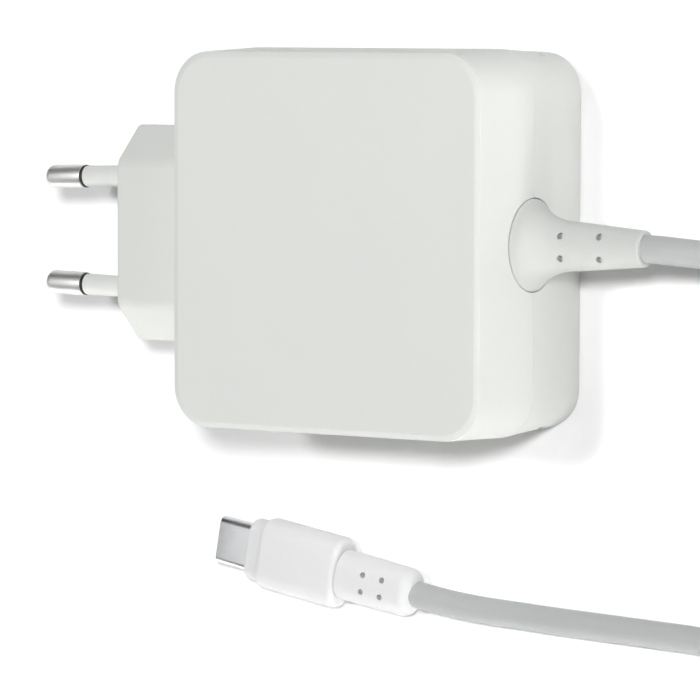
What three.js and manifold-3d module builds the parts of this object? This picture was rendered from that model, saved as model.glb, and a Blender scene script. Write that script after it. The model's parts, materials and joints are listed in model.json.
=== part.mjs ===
// Laptop power adapter: a square wall adapter with a fixed two-pin plug, a cord with a
// USB-C plug, and two fold-out cord hooks. Millimetres, +Z up. The adapter lies on its
// back face: plug towards -X, cord towards +X, origin at the middle of the back face.

import * as THREE from "three";
import { mergeVertices } from "three/addons/utils/BufferGeometryUtils.js";
import Module from "manifold-3d";

const wasm = await Module();
wasm.setup();

// ---- driving dimensions ---------------------------------------------------------------

const WIDTH = 60; // housing, X
const HEIGHT = 62.8; // housing, Y
const DEPTH = 32; // housing, Z
const MIDDLE = DEPTH / 2; // height of the parting line, the plug and the cord
const WALL = 2.2;
const CORNER = 7; // radius of the housing's upright corners
const BAND = { width: 1, drop: 0.48 }; // band round a big face that falls away to a crisp edge
const DRAFT = 0.6; // how far a side wall leans in between the parting line and a face
const SEAM = 0.2; // gap between the two shells
const FIT = 0.3; // gap round a piece that sits in a window or beside another
const RIM = { thickness: 0.9, reach: 1.6, play: 0.2 }; // locating rim inside the parting line
const POST_RADIUS = 2.4; // posts under the circuit board

// Two-pin plug of the 2.5 A European pattern
const PLUG = {
  reach: 17.7,
  halfHeight: 18.25,
  flatHalf: 12.15, // half width of its two flat faces
  thickness: 13.7,
  sideHalf: 0.6, // half thickness at its two narrow sides
  flatRounding: 3,
  sideRounding: 1.3,
  faceRounding: 0.6,
  flange: { thickness: 1.7, beyondY: 1.7, beyondZ: 1.5 }, // behind the wall
};
const PIN = { length: 18.8, radius: 2.0, coreRadius: 1.2, bare: 7.5, tail: 23.5 };
const PIN_SPACING = 19; // at the plug's face
const PIN_SPACING_AT_TIPS = 18;
const SLEEVE = { radius: 1.8, bore: 1.4, collar: 0.3, depth: 3 };

// Strain relief on the housing
const RELIEF = { discRadius: 7.5, flangeRadius: 9.2, waistRadius: 3.95, endRadius: 2.95 };
const GLAND = { radius: 4.4, length: 1.3, flange: 1.7, wallGap: 0.7 }; // its part behind the wall
const RELIEF_WAIST_X = 38.4;
const RELIEF_END_X = 50.2;
const RELIEF_HOLES = { radius: 0.55, first: 36.9, second: 43.7, offset: 1.8, depth: 1.3 };

// Cord
const CORD = 4.5; // diameter
const CORD_SIDES = 10;
const COIL = { x: 98, y: -36.2, radius: 24.9, columns: 3, rows: 4, base: 1.5 };
const TIE = { width: 8, thickness: 1.1, clearance: 0.3 };

// USB-C plug, drawn along its own +X from the mouth, then laid on the floor
const USB = { x: -39.3, y: -53, axisHeight: 3.5, turn: -9.8 };
const SHELL = { width: 8.34, height: 2.56, wall: 0.3, length: 8, visible: 6.65 };
const GRIP = { halfWidth: 6.1, halfHeight: 3.45, start: 9.8, end: 25.5 };
const NOSE = { halfWidth: 5.3, halfHeight: 2.65 };
const USB_RELIEF = {
  root: { halfWidth: 4.3, halfHeight: 3.3 },
  end: { halfWidth: 4.1, halfHeight: 3.2, rounding: 2.2 },
  length: 13.9,
};
const USB_HOLES = { radius: 0.5, first: 5.2, second: 9.0, offset: 1.45, depthFrom: 1.7 };
const CONTACTS = { count: 12, pitch: 0.5, width: 0.25, thickness: 0.12, length: 5.2 };

// Cord hooks, folded into the narrow sides of the rear shell
const HOOK = { pinInX: 6.15, pinInY: 2.3, length: 22, knuckle: 1.8, low: 5.9, high: 13.9 };
const HOOK_LIP = { width: 1.9, drop: 1.0 };
const HOOK_SWING = 2.35; // radius the recess leaves free round the hinge
const HOOK_NAIL_GAP = 1.6; // free space past the hook's tip
const POCKET_WALL = 1.3; // walls round the recess, inside the rear shell
const HINGE = { radius: 0.75, boreInHook: 0.83, boreInShell: 0.8 };
const HINGE_LOW = 0.9;
const HINGE_HIGH = MIDDLE - SEAM / 2 - 0.2;

// Circuit board
const BOARD = { left: -25, right: 25, halfY: 24.2, bottom: 4.6, thickness: 1.6 };
const BOARD_TOP = BOARD.bottom + BOARD.thickness;
const SEAT = 0.1; // gap between a component and the board
const MAINS_WIRE = 1.6; // diameters of the wires inside
const OUTPUT_WIRE = 1.4;

// Components: where each stands on the board, and its size
const FUSE = { x: -23, y: -15, lift: 2.1, halfLength: 5, halfTube: 3.5, tube: 1.6, cap: 1.9 };
const SAFETY_CAPACITOR = { x: -7.6, y: 3.5, lift: 4.3, halfThickness: 1.9, radius: 3.9 };
const MAINS_CHOKE = { x: -14.8, y: -8.6, inner: 2.6, outer: 6.2, height: 6.5, turns: 16 };
const MAINS_CAPACITOR = { x: -18.8, y: 4.5, size: [6.5, 12, 12], rounding: 0.5 };
const BRIDGE = { x: -13, y: -20, size: [14, 3.8, 10.5], rounding: 0.3 };
const BULK_CAPACITOR = { x: 2.6, y: -15.4, radius: 7.8, height: 19.5 };
const HEAT_SINK = { left: -22, right: -4, front: 22.7, thickness: 1.2, height: 18, foot: 3 };
const SWITCH = { x: -12.5, y: 20.4, lift: 3, size: [10, 4.2, 9], rounding: 0.3, tabTop: 17 };
const TRANSFORMER = { x: 7, y: 8, width: 22, length: 17, height: 16, leg: 6, yoke: 3.2, lift: 1.5 };
const OPTOCOUPLER = { x: 13.5, y: -6.6, size: [7.2, 4.4, 3.4], rounding: 0.3 };
const OUTPUT_CAPACITOR_A = { x: 15.2, y: -14.6, radius: 4, height: 12 };
const OUTPUT_CAPACITOR_B = { x: 21.2, y: -20.6, radius: 3, height: 9 };
const OUTPUT_CHOKE = { x: 21.6, y: -11.5, inner: 0.9, outer: 2.6, height: 6, turns: 10 };
const RECTIFIER = { x: 21.6, y: 12, size: [5, 6, 1.1], rounding: 0.15 };
const CONTROLLER_BOARD = { x: 15.5, y: 22, width: 16, thickness: 1.2, height: 13 };
const CONTROLLER_CHIP = { x: 15, y: 20.7, lift: 5, size: [5, 1.1, 5], rounding: 0.15 };
const SPREADER = { left: -21, right: 22, halfY: 21, sheet: 0.8, flap: 6, flapHalfY: 16, gap: 0.6 };
const PAPER = { half: 20.5, thickness: 0.4, gap: 0.2 };

// ---- small helpers --------------------------------------------------------------------

const degrees = (angle) => (angle * Math.PI) / 180;

function signedVolume(geometry) {
  const position = geometry.attributes.position;
  const index = geometry.index;
  const count = index ? index.count : position.count;
  const corner = [new THREE.Vector3(), new THREE.Vector3(), new THREE.Vector3()];
  let volume = 0;
  for (let i = 0; i < count; i += 3) {
    for (let k = 0; k < 3; k++) {
      corner[k].fromBufferAttribute(position, index ? index.getX(i + k) : i + k);
    }
    volume += corner[0].dot(corner[1].clone().cross(corner[2])) / 6;
  }
  return volume;
}

// Shares the corner points, drops collapsed triangles and turns the faces outward.
function closed(geometry) {
  const bare = geometry.clone();
  bare.deleteAttribute("normal");
  bare.deleteAttribute("uv");
  const merged = mergeVertices(bare, 1e-4);
  const source = merged.index.array;
  const kept = [];
  for (let i = 0; i < source.length; i += 3) {
    const [a, b, c] = [source[i], source[i + 1], source[i + 2]];
    if (a !== b && b !== c && c !== a) {
      kept.push(a, b, c);
    }
  }
  merged.setIndex(kept);
  merged.clearGroups();
  if (signedVolume(merged) < 0) {
    for (let i = 0; i < kept.length; i += 3) {
      [kept[i], kept[i + 1]] = [kept[i + 1], kept[i]];
    }
    merged.setIndex(kept);
  }
  return merged;
}

function toSolid(geometry) {
  const mesh = closed(geometry);
  const vertProperties = new Float32Array(mesh.attributes.position.array);
  const triVerts = new Uint32Array(mesh.index.array);
  return new wasm.Manifold(new wasm.Mesh({ numProp: 3, vertProperties, triVerts }));
}

function toGeometry(solid) {
  const mesh = solid.getMesh();
  const geometry = new THREE.BufferGeometry();
  geometry.setAttribute("position", new THREE.BufferAttribute(mesh.vertProperties, 3));
  geometry.setIndex(new THREE.BufferAttribute(mesh.triVerts, 1));
  return geometry;
}

const join = (first, ...others) => others.reduce((all, next) => all.add(toSolid(next)), toSolid(first));
const cut = (solid, ...tools) => tools.reduce((left, tool) => left.subtract(toSolid(tool)), solid);

function box(x0, x1, y0, y1, z0, z1) {
  const geometry = new THREE.BoxGeometry(x1 - x0, y1 - y0, z1 - z0);
  return geometry.translate((x0 + x1) / 2, (y0 + y1) / 2, (z0 + z1) / 2);
}

// Anticlockwise rounded rectangle round the origin, as [x, y] pairs.
function roundedRectangle(halfX, halfY, radius, steps = 6) {
  const points = [];
  const signs = [[1, 1], [-1, 1], [-1, -1], [1, -1]];
  signs.forEach(([signX, signY], quarter) => {
    for (let i = 0; i <= steps; i++) {
      const angle = ((quarter + i / steps) * Math.PI) / 2;
      const x = signX * (halfX - radius) + radius * Math.cos(angle);
      const y = signY * (halfY - radius) + radius * Math.sin(angle);
      points.push([x, y]);
    }
  });
  return points;
}

// Outline through corners [x, y, radius], anticlockwise, each corner rounded by its own radius.
function roundedOutline(corners, steps = 3) {
  return corners.flatMap(([x, y, radius], i) => {
    const last = corners.at(i - 1);
    const next = corners[(i + 1) % corners.length];
    const here = new THREE.Vector2(x, y);
    const back = new THREE.Vector2(last[0], last[1]).sub(here).normalize();
    const ahead = new THREE.Vector2(next[0], next[1]).sub(here).normalize();
    const half = Math.acos(back.dot(ahead)) / 2;
    const inward = back.clone().add(ahead).normalize();
    const centre = here.clone().addScaledVector(inward, radius / Math.sin(half));
    const facing = inward.angle() + Math.PI;
    return Array.from({ length: steps + 1 }, (_, k) => {
      const angle = facing + (Math.PI - 2 * half) * (k / steps - 0.5);
      return [centre.x + radius * Math.cos(angle), centre.y + radius * Math.sin(angle)];
    });
  });
}

const shapeOf = (points) => new THREE.Shape(points.map(([x, y]) => new THREE.Vector2(x, y)));

// Upright prism over an outline, with optional rounded top and bottom edges.
function prism(points, z0, z1, bevel = 0, bevelSegments = 2) {
  const geometry = new THREE.ExtrudeGeometry(shapeOf(points), {
    depth: z1 - z0 - 2 * bevel,
    bevelEnabled: bevel > 0,
    bevelThickness: bevel,
    bevelSize: bevel,
    bevelOffset: -bevel,
    bevelSegments,
  });
  return geometry.translate(0, 0, z0 + bevel);
}

// Box with rounded edges that stands over the board, on it unless it has a lift.
function block({ x, y, size: [sizeX, sizeY, sizeZ], rounding, lift = SEAT }) {
  const outline = roundedRectangle(sizeX / 2, sizeY / 2, rounding * 1.5, 2);
  const base = BOARD_TOP + lift;
  return prism(outline, base, base + sizeZ, rounding, 1).translate(x, y, 0);
}

// Skin through rings of equal length, closed by a fan at each end.
function loft(rings) {
  const size = rings[0].length;
  const positions = rings.flat(2);
  const indices = [];
  for (let r = 0; r + 1 < rings.length; r++) {
    for (let i = 0; i < size; i++) {
      const a = r * size + i;
      const b = r * size + ((i + 1) % size);
      indices.push(a, b, b + size, a, b + size, a + size);
    }
  }
  for (const [start, flip] of [[0, true], [(rings.length - 1) * size, false]]) {
    for (let i = 1; i + 1 < size; i++) {
      const fan = [start, start + i, start + i + 1];
      indices.push(...(flip ? fan.reverse() : fan));
    }
  }
  const geometry = new THREE.BufferGeometry();
  geometry.setAttribute("position", new THREE.Float32BufferAttribute(positions, 3));
  geometry.setIndex(indices);
  return geometry;
}

// Turned piece along X: the profile is [x, radius] pairs that start and end on the axis.
function turnedAlongX(profile, segments = 24) {
  const points = profile.map(([x, radius]) => new THREE.Vector2(radius, x));
  return closed(new THREE.LatheGeometry(points, segments)).rotateZ(-Math.PI / 2);
}

// Turned piece standing on Z: the profile is [radius, z] pairs.
function turnedAlongZ(profile, segments = 24) {
  const points = profile.map(([radius, z]) => new THREE.Vector2(radius, z));
  return closed(new THREE.LatheGeometry(points, segments)).rotateX(Math.PI / 2);
}

function rodAlongX(x0, x1, radius, segments = 24) {
  return turnedAlongX([[x0, 0], [x0, radius], [x1, radius], [x1, 0]], segments);
}

function rodAlongZ(z0, z1, radius, segments = 24) {
  return turnedAlongZ([[0, z0], [radius, z0], [radius, z1], [0, z1]], segments);
}

function ringAlongX(x0, x1, inner, outer, segments = 24) {
  const profile = [[x0, inner], [x0, outer], [x1, outer], [x1, inner], [x0, inner]];
  return turnedAlongX(profile, segments);
}

// Round tube along a smooth curve through the points.
function tube(points, diameter, steps, sides = CORD_SIDES) {
  const path = new THREE.CatmullRomCurve3(points.map((p) => new THREE.Vector3(...p)));
  const outline = [];
  for (let i = 0; i < sides; i++) {
    const angle = (2 * Math.PI * i) / sides;
    outline.push([(diameter / 2) * Math.cos(angle), (diameter / 2) * Math.sin(angle)]);
  }
  return new THREE.ExtrudeGeometry(shapeOf(outline), { steps, extrudePath: path });
}

// ---- materials ------------------------------------------------------------------------

const material = (color, roughness, metalness = 0) =>
  new THREE.MeshStandardMaterial({ color, roughness, metalness });

const whitePlastic = material(0xeceeec, 0.5);
const whiteRubber = material(0xe9eae8, 0.62);
const cordWhite = material(0xdedfe2, 0.6);
const blackPlastic = material(0x1c1d1f, 0.5);
const nickel = material(0xc9c9c6, 0.3, 1);
const steel = material(0xb9bbbd, 0.3, 1);
const gold = material(0xd8b25a, 0.3, 1);
const boardGreen = material(0x1f5a38, 0.5);
const ferrite = material(0x34363a, 0.7);
const tapeYellow = material(0xe0b63a, 0.55);
const copper = material(0xb5673a, 0.35, 1);
const aluminium = material(0xb8bcc0, 0.4, 1);
const capacitorGreen = material(0x3b6b4f, 0.4);
const boxYellow = material(0xe3c95b, 0.5);
const blueEpoxy = material(0x2d62a8, 0.45);
const chipBlack = material(0x222325, 0.55);
const wireBrown = material(0x6b4026, 0.5);
const wireBlue = material(0x2a5fa5, 0.5);
const wireRed = material(0xb3322c, 0.5);
const glassFuse = material(0xd9d2bd, 0.4);
const tieBlack = material(0x2a2b2d, 0.7);
const paperSheet = material(0xe8e2cf, 0.8);

// ---- housing --------------------------------------------------------------------------

// Heights and lean-ins of the side wall, from the back face up to the parting line.
function wallLevels() {
  const steps = 3;
  const levels = [];
  for (let i = 0; i <= steps; i++) {
    const part = i / steps;
    levels.push([BAND.drop * part ** 1.5, DRAFT + BAND.width * (1 - part)]);
  }
  levels.push([MIDDLE, 0]);
  return levels;
}

// The housing's outer form, drawn in by an inset on every side.
function housingForm(inset) {
  const lower = wallLevels();
  const upper = lower.slice(0, -1).map(([z, lean]) => [DEPTH - z, lean]).reverse();
  const squeeze = (DEPTH - 2 * inset) / DEPTH;
  const rings = [...lower, ...upper].map(([z, lean]) => {
    const halfX = WIDTH / 2 - inset - lean;
    const halfY = HEIGHT / 2 - inset - lean;
    const radius = Math.max(CORNER - inset - lean / 2, 2);
    const ringZ = MIDDLE + (z - MIDDLE) * squeeze;
    return roundedRectangle(halfX, halfY, radius, 8).map(([x, y]) => [x, y, ringZ]);
  });
  return loft(rings);
}

const hookPin = { x: WIDTH / 2 - HOOK.pinInX, y: HEIGHT / 2 - HOOK.pinInY };
const hookTipX = hookPin.x - HOOK.length;
const hookInnerY = hookPin.y - 0.4; // inner face of the folded hook
const recessFloorY = hookPin.y - HOOK_SWING;

const mirrorY = (geometry) => closed(geometry.clone().scale(1, -1, 1));

// Space the folded hook lies and swings in.
function hookRecess() {
  const low = HOOK.low - FIT;
  const high = HOOK.high + FIT;
  const beyond = HEIGHT / 2 + 2;
  const tray = box(hookTipX - HOOK_NAIL_GAP, hookPin.x, recessFloorY, beyond, low, high);
  const mouth = box(hookPin.x - 1, hookPin.x + HOOK_SWING, hookPin.y, beyond, low, high);
  const swing = rodAlongZ(low, high, HOOK_SWING, 32).translate(hookPin.x, hookPin.y, 0);
  return toGeometry(join(tray, mouth, swing));
}

// Solid walls that carry the recess inside the rear shell.
function hookPocket() {
  const left = hookTipX - HOOK_NAIL_GAP - POCKET_WALL;
  const right = hookPin.x + HOOK_SWING + POCKET_WALL;
  const floor = recessFloorY - POCKET_WALL;
  const walls = toSolid(box(left, right, floor, HEIGHT / 2, WALL / 2, MIDDLE - SEAM / 2));
  return toGeometry(walls.intersect(toSolid(housingForm(WALL / 2))));
}

// Window for the plug block and round hole for the strain relief.
function wallOpenings() {
  const side = WIDTH / 2;
  const window = loft([plugSection(-side - 1, FIT), plugSection(-side + 3, FIT)]);
  const hole = rodAlongX(side - 3, side + 1, RELIEF.discRadius + FIT, 40);
  return [window, hole.translate(0, 0, MIDDLE)];
}

// Space the rim leaves for the plug's flange, the strain relief's flange and the hook pockets.
function rimRooms() {
  const side = WIDTH / 2;
  const plugRoom = box(-side, -side + 5, -PLUG.halfHeight - 2, PLUG.halfHeight + 2, 0, DEPTH);
  const reliefRoom = rodAlongX(side - 6, side, RELIEF.flangeRadius + FIT, 40);
  const left = hookTipX - HOOK_NAIL_GAP - POCKET_WALL - FIT;
  const right = hookPin.x + HOOK_SWING + POCKET_WALL + FIT;
  const floor = recessFloorY - POCKET_WALL - FIT;
  const hookRoom = box(left, right, floor, HEIGHT / 2, 0, MIDDLE + SEAM / 2);
  return [plugRoom, reliefRoom.translate(0, 0, MIDDLE), hookRoom, mirrorY(hookRoom)];
}

// Rim inside the front shell that reaches past the parting line and centres the rear shell.
function locatingRim() {
  const { thickness, reach, play } = RIM;
  const halfX = WIDTH / 2 - WALL;
  const halfY = HEIGHT / 2 - WALL;
  const radius = CORNER - WALL;
  const ring = (grow, z0, z1) =>
    prism(roundedRectangle(halfX + grow, halfY + grow, radius + grow), z0, z1);
  const seated = ring(play, MIDDLE + SEAM / 2, MIDDLE + reach);
  const free = ring(-play, MIDDLE - reach, MIDDLE + 1);
  const hollow = ring(-thickness, MIDDLE - reach - 1, MIDDLE + reach + 1);
  return toGeometry(cut(join(seated, free), hollow, ...rimRooms()));
}

function frontShell() {
  const lid = toSolid(housingForm(0)).subtract(toSolid(housingForm(WALL)));
  const upper = box(-WIDTH, WIDTH, -HEIGHT, HEIGHT, MIDDLE + SEAM / 2, DEPTH + 1);
  const shell = lid.intersect(toSolid(upper)).add(toSolid(locatingRim()));
  return toGeometry(cut(shell, ...wallOpenings()));
}

function boardPost(x, y) {
  return rodAlongZ(WALL - 0.3, BOARD.bottom - SEAT, POST_RADIUS, 20).translate(x, y, 0);
}

function rearShell() {
  const tray = toSolid(housingForm(0)).subtract(toSolid(housingForm(WALL)));
  const lower = box(-WIDTH, WIDTH, -HEIGHT, HEIGHT, -1, MIDDLE - SEAM / 2);
  const pocket = hookPocket();
  const postX = BOARD.right - 4;
  const postY = BOARD.halfY - 4;
  const posts = [[-1, -1], [-1, 1], [1, -1], [1, 1]].map(([sx, sy]) => boardPost(sx * postX, sy * postY));
  const walls = [pocket, mirrorY(pocket), ...posts].map(toSolid);
  const shell = walls.reduce((all, next) => all.add(next), tray.intersect(toSolid(lower)));
  const recess = hookRecess();
  const bore = rodAlongZ(HINGE_LOW - 0.1, MIDDLE + 1, HINGE.boreInShell);
  bore.translate(hookPin.x, hookPin.y, 0);
  return toGeometry(cut(shell, ...wallOpenings(), recess, mirrorY(recess), bore, mirrorY(bore)));
}

// ---- cord hooks -----------------------------------------------------------------------

function cordHook() {
  const { low, high } = HOOK;
  const plate = box(hookTipX, hookPin.x, hookInnerY, HEIGHT / 2 + 2, low, high);
  const knuckle = rodAlongZ(low, high, HOOK.knuckle).translate(hookPin.x, hookPin.y, 0);
  const flush = join(plate, knuckle).intersect(toSolid(housingForm(0.05)));
  const lipBottom = hookInnerY - HOOK_LIP.drop;
  const lip = prism([
    [hookTipX, hookInnerY + 0.2],
    [hookTipX, lipBottom + 0.3],
    [hookTipX + 0.3, lipBottom],
    [hookTipX + HOOK_LIP.width - 0.4, lipBottom],
    [hookTipX + HOOK_LIP.width + 0.8, hookInnerY + 0.2],
  ], low, high);
  const bore = rodAlongZ(low - 1, high + 1, HINGE.boreInHook).translate(hookPin.x, hookPin.y, 0);
  return toGeometry(cut(flush.add(toSolid(lip)), bore));
}

function hookHinge() {
  return rodAlongZ(HINGE_LOW, HINGE_HIGH, HINGE.radius).translate(hookPin.x, hookPin.y, 0);
}

// ---- plug -----------------------------------------------------------------------------

const plugFaceX = -WIDTH / 2 - PLUG.reach;
const plugFlangeX = -WIDTH / 2 + WALL + 0.6; // clear of the wall, which leans in towards its edges
const pinTilt = Math.atan2((PIN_SPACING - PIN_SPACING_AT_TIPS) / 2, PIN.length);

// Puts a pin piece, drawn along X from the plug's face, on the upper (+1) or lower (-1) axis.
function onPinAxis(geometry, side) {
  const placed = geometry.clone().rotateZ(side * pinTilt);
  return placed.translate(plugFaceX, (side * PIN_SPACING) / 2, MIDDLE);
}

// Ring at a given X round the plug's six-sided section, grown on all sides by an offset.
function plugSection(x, grow = 0) {
  const { halfHeight, flatHalf, thickness, sideHalf, flatRounding, sideRounding } = PLUG;
  const slope = Math.atan2(thickness / 2 - sideHalf, halfHeight - flatHalf);
  const flat = [flatHalf + grow * Math.tan(slope / 2), thickness / 2 + grow, flatRounding + grow];
  const side = [halfHeight + grow, sideHalf + grow * Math.tan((Math.PI / 2 - slope) / 2), sideRounding + grow];
  const right = [[side[0], -side[1], side[2]], side, flat];
  const left = [[-flat[0], flat[1], flat[2]], [-side[0], side[1], side[2]], [-side[0], -side[1], side[2]]];
  const bottom = [[-flat[0], -flat[1], flat[2]], [flat[0], -flat[1], flat[2]]];
  return roundedOutline([...right, ...left, ...bottom]).map(([y, z]) => [x, y, MIDDLE + z]);
}

function plugBlock() {
  const { faceRounding } = PLUG;
  const arcMiddle = (1 - Math.SQRT1_2) * faceRounding; // half way round a quarter-round edge
  const sections = [
    plugSection(plugFaceX, -faceRounding),
    plugSection(plugFaceX + arcMiddle, -arcMiddle),
    plugSection(plugFaceX + faceRounding),
    plugSection(plugFlangeX + 0.2),
  ];
  const halfY = PLUG.halfHeight + PLUG.flange.beyondY;
  const halfZ = PLUG.thickness / 2 + PLUG.flange.beyondZ;
  const flangeEnd = plugFlangeX + PLUG.flange.thickness;
  const flange = box(plugFlangeX, flangeEnd, -halfY, halfY, MIDDLE - halfZ, MIDDLE + halfZ);
  const bores = [1, -1].flatMap((side) => [
    onPinAxis(rodAlongX(1, PIN.tail, SLEEVE.bore), side),
    onPinAxis(rodAlongX(-1, SLEEVE.depth + 0.2, SLEEVE.radius + 0.2), side),
  ]);
  return toGeometry(cut(join(loft(sections), flange), ...bores));
}

function pinBody() {
  const shoulder = -PIN.length + PIN.bare;
  const dome = 1.2;
  const profile = [[-PIN.length, 0]];
  for (let i = 1; i <= 4; i++) {
    const angle = (i / 4) * (Math.PI / 2);
    const x = -PIN.length + dome * (1 - Math.cos(angle));
    profile.push([x, PIN.radius * (0.4 + 0.6 * Math.sin(angle))]);
  }
  profile.push([shoulder, PIN.radius], [shoulder, PIN.coreRadius]);
  profile.push([PIN.tail, PIN.coreRadius], [PIN.tail, 0]);
  return turnedAlongX(profile);
}

function pinCollar() {
  const end = -PIN.length + PIN.bare;
  return ringAlongX(end + 0.1, end + 0.1 + SLEEVE.collar, SLEEVE.bore, PIN.radius - 0.08);
}

function pinSleeve() {
  const start = -PIN.length + PIN.bare + SLEEVE.collar + 0.2;
  return ringAlongX(start, SLEEVE.depth, SLEEVE.bore, SLEEVE.radius);
}

// ---- strain relief and cord -----------------------------------------------------------

const glandStartX = WIDTH / 2 - WALL - GLAND.wallGap - GLAND.flange - GLAND.length;

// Radius of the strain relief's flared skin between its disc and its end.
function reliefRadius(x) {
  if (x >= RELIEF_WAIST_X) {
    const along = (x - RELIEF_WAIST_X) / (RELIEF_END_X - RELIEF_WAIST_X);
    return THREE.MathUtils.lerp(RELIEF.waistRadius, RELIEF.endRadius, along);
  }
  const back = (RELIEF_WAIST_X - x) / (RELIEF_WAIST_X - WIDTH / 2);
  const flare = RELIEF.discRadius - 0.3 - RELIEF.waistRadius;
  return RELIEF.waistRadius + flare * back ** 2.4;
}

function strainRelief() {
  const wallX = WIDTH / 2;
  const flangeStart = glandStartX + GLAND.length;
  const flangeEnd = flangeStart + GLAND.flange;
  const profile = [
    [glandStartX, 0],
    [glandStartX, GLAND.radius],
    [flangeStart, GLAND.radius],
    [flangeStart, RELIEF.flangeRadius],
    [flangeEnd, RELIEF.flangeRadius],
    [flangeEnd, RELIEF.discRadius],
    [wallX, RELIEF.discRadius],
  ];
  const steps = 13;
  for (let i = 0; i <= steps; i++) {
    const x = wallX + 0.15 + ((RELIEF_END_X - 0.4 - wallX) * i) / steps;
    profile.push([x, reliefRadius(x)]);
  }
  profile.push([RELIEF_END_X, RELIEF.endRadius - 0.35], [RELIEF_END_X, 0]);
  const body = toSolid(turnedAlongX(profile, 36).translate(0, 0, MIDDLE));
  return toGeometry(cut(body, ...reliefHoles()));
}

// Locating-pin holes left in the soft moulding, four on the front and four on the back.
function reliefHoles() {
  const { radius, first, second, offset, depth } = RELIEF_HOLES;
  const holes = [];
  for (const x of [first, second]) {
    const rise = Math.sqrt(reliefRadius(x) ** 2 - offset ** 2);
    for (const y of [offset, -offset]) {
      const front = rodAlongZ(MIDDLE + rise - depth, MIDDLE + rise + 2, radius, 12);
      const back = rodAlongZ(MIDDLE - rise - 2, MIDDLE - rise + depth, radius, 12);
      holes.push(front.translate(x, y, 0), back.translate(x, y, 0));
    }
  }
  return holes;
}

const coilOuter = COIL.radius + (COIL.columns * CORD) / 2;
const coilInner = COIL.radius - (COIL.columns * CORD) / 2;
const coilTop = COIL.base + COIL.rows * CORD;
const coilSideY = coilOuter + CORD / 2 + FIT; // centreline of a cord that runs past the coil
const floorCord = CORD / 2 + 0.1; // centre height of a cord on the floor

function adapterCord() {
  const start = RELIEF_END_X + FIT;
  return tube([
    [start, 0, MIDDLE],
    [start + 6, -0.4, 15.4],
    [start + 14, -1.2, 12.4],
    [start + 23, -2.0, 7.6],
    [start + 32, -2.2, 4.0],
    [start + 40, -2.1, floorCord + 0.4],
    [COIL.x, COIL.y + coilSideY, floorCord],
  ], CORD, 24);
}

function usbCord() {
  const turn = degrees(USB.turn);
  const length = GRIP.end + USB_RELIEF.length + 2 * FIT;
  const onAxis = (s, z) => [USB.x + s * Math.cos(turn), USB.y + s * Math.sin(turn), z];
  return tube([
    onAxis(length, USB.axisHeight),
    onAxis(length + 8, USB.axisHeight - 0.5),
    [18, -62.0, floorCord],
    [36, -62.9, floorCord],
    [54, -63.8, floorCord],
    [70, -66.2, floorCord],
    [84, -69.4, floorCord],
    [COIL.x, COIL.y - coilSideY, floorCord],
  ], CORD, 44);
}

function cordCoil() {
  const rounding = 2;
  const halfWidth = (coilOuter - coilInner) / 2;
  const halfHeight = (coilTop - COIL.base) / 2;
  const section = roundedRectangle(halfWidth, halfHeight, rounding, 2);
  const profile = section.map(([r, z]) => [COIL.radius + r, COIL.base + halfHeight + z]);
  profile.push(profile[0]);
  return turnedAlongZ(profile, 56).translate(COIL.x, COIL.y, 0);
}

function coilTie() {
  const inner = {
    near: coilInner - 0.75,
    far: coilOuter + TIE.clearance,
    low: COIL.base - TIE.clearance,
    high: coilTop + TIE.clearance,
  };
  const frame = (grow) => {
    const halfX = (inner.far - inner.near) / 2 + grow;
    const halfZ = (inner.high - inner.low) / 2 + grow;
    return roundedRectangle(halfX, halfZ, 1.2 + grow, 3);
  };
  const shape = shapeOf(frame(TIE.thickness));
  shape.holes.push(new THREE.Path(frame(0).map(([x, y]) => new THREE.Vector2(x, y))));
  const band = new THREE.ExtrudeGeometry(shape, { depth: TIE.width, bevelEnabled: false });
  band.translate(0, 0, -TIE.width / 2).rotateX(Math.PI / 2);
  const middleX = COIL.x + (inner.near + inner.far) / 2;
  return band.translate(middleX, COIL.y, (inner.low + inner.high) / 2);
}

// ---- USB-C plug -----------------------------------------------------------------------

function onUsbAxis(geometry) {
  return geometry.clone().rotateZ(degrees(USB.turn)).translate(USB.x, USB.y, USB.axisHeight);
}

// Rings across the plug's axis: [x, half width, half height, corner share of the half height].
function skinAlongX(sections, steps = 4) {
  const rings = sections.map(([x, halfWidth, halfHeight, share]) =>
    roundedRectangle(halfWidth, halfHeight, halfHeight * share, steps).map(([y, z]) => [x, y, z])
  );
  return loft(rings);
}

function usbShell() {
  const { width, height, wall, length } = SHELL;
  const outer = skinAlongX([[0, width / 2, height / 2, 0.99], [length, width / 2, height / 2, 0.99]]);
  const innerWidth = width / 2 - wall;
  const innerHeight = height / 2 - wall;
  const inner = skinAlongX([[-1, innerWidth, innerHeight, 0.99], [length + 1, innerWidth, innerHeight, 0.99]]);
  return onUsbAxis(toGeometry(cut(toSolid(outer), inner)));
}

function usbInsulator() {
  const halfWidth = SHELL.width / 2 - SHELL.wall - 0.1;
  const halfHeight = SHELL.height / 2 - SHELL.wall - 0.1;
  const core = skinAlongX([[0.5, halfWidth, halfHeight, 0.99], [7.8, halfWidth, halfHeight, 0.99]]);
  const slot = box(0, 6.6, -3.4, 3.4, -0.45, 0.45);
  return onUsbAxis(toGeometry(cut(toSolid(core), slot)));
}

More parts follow.
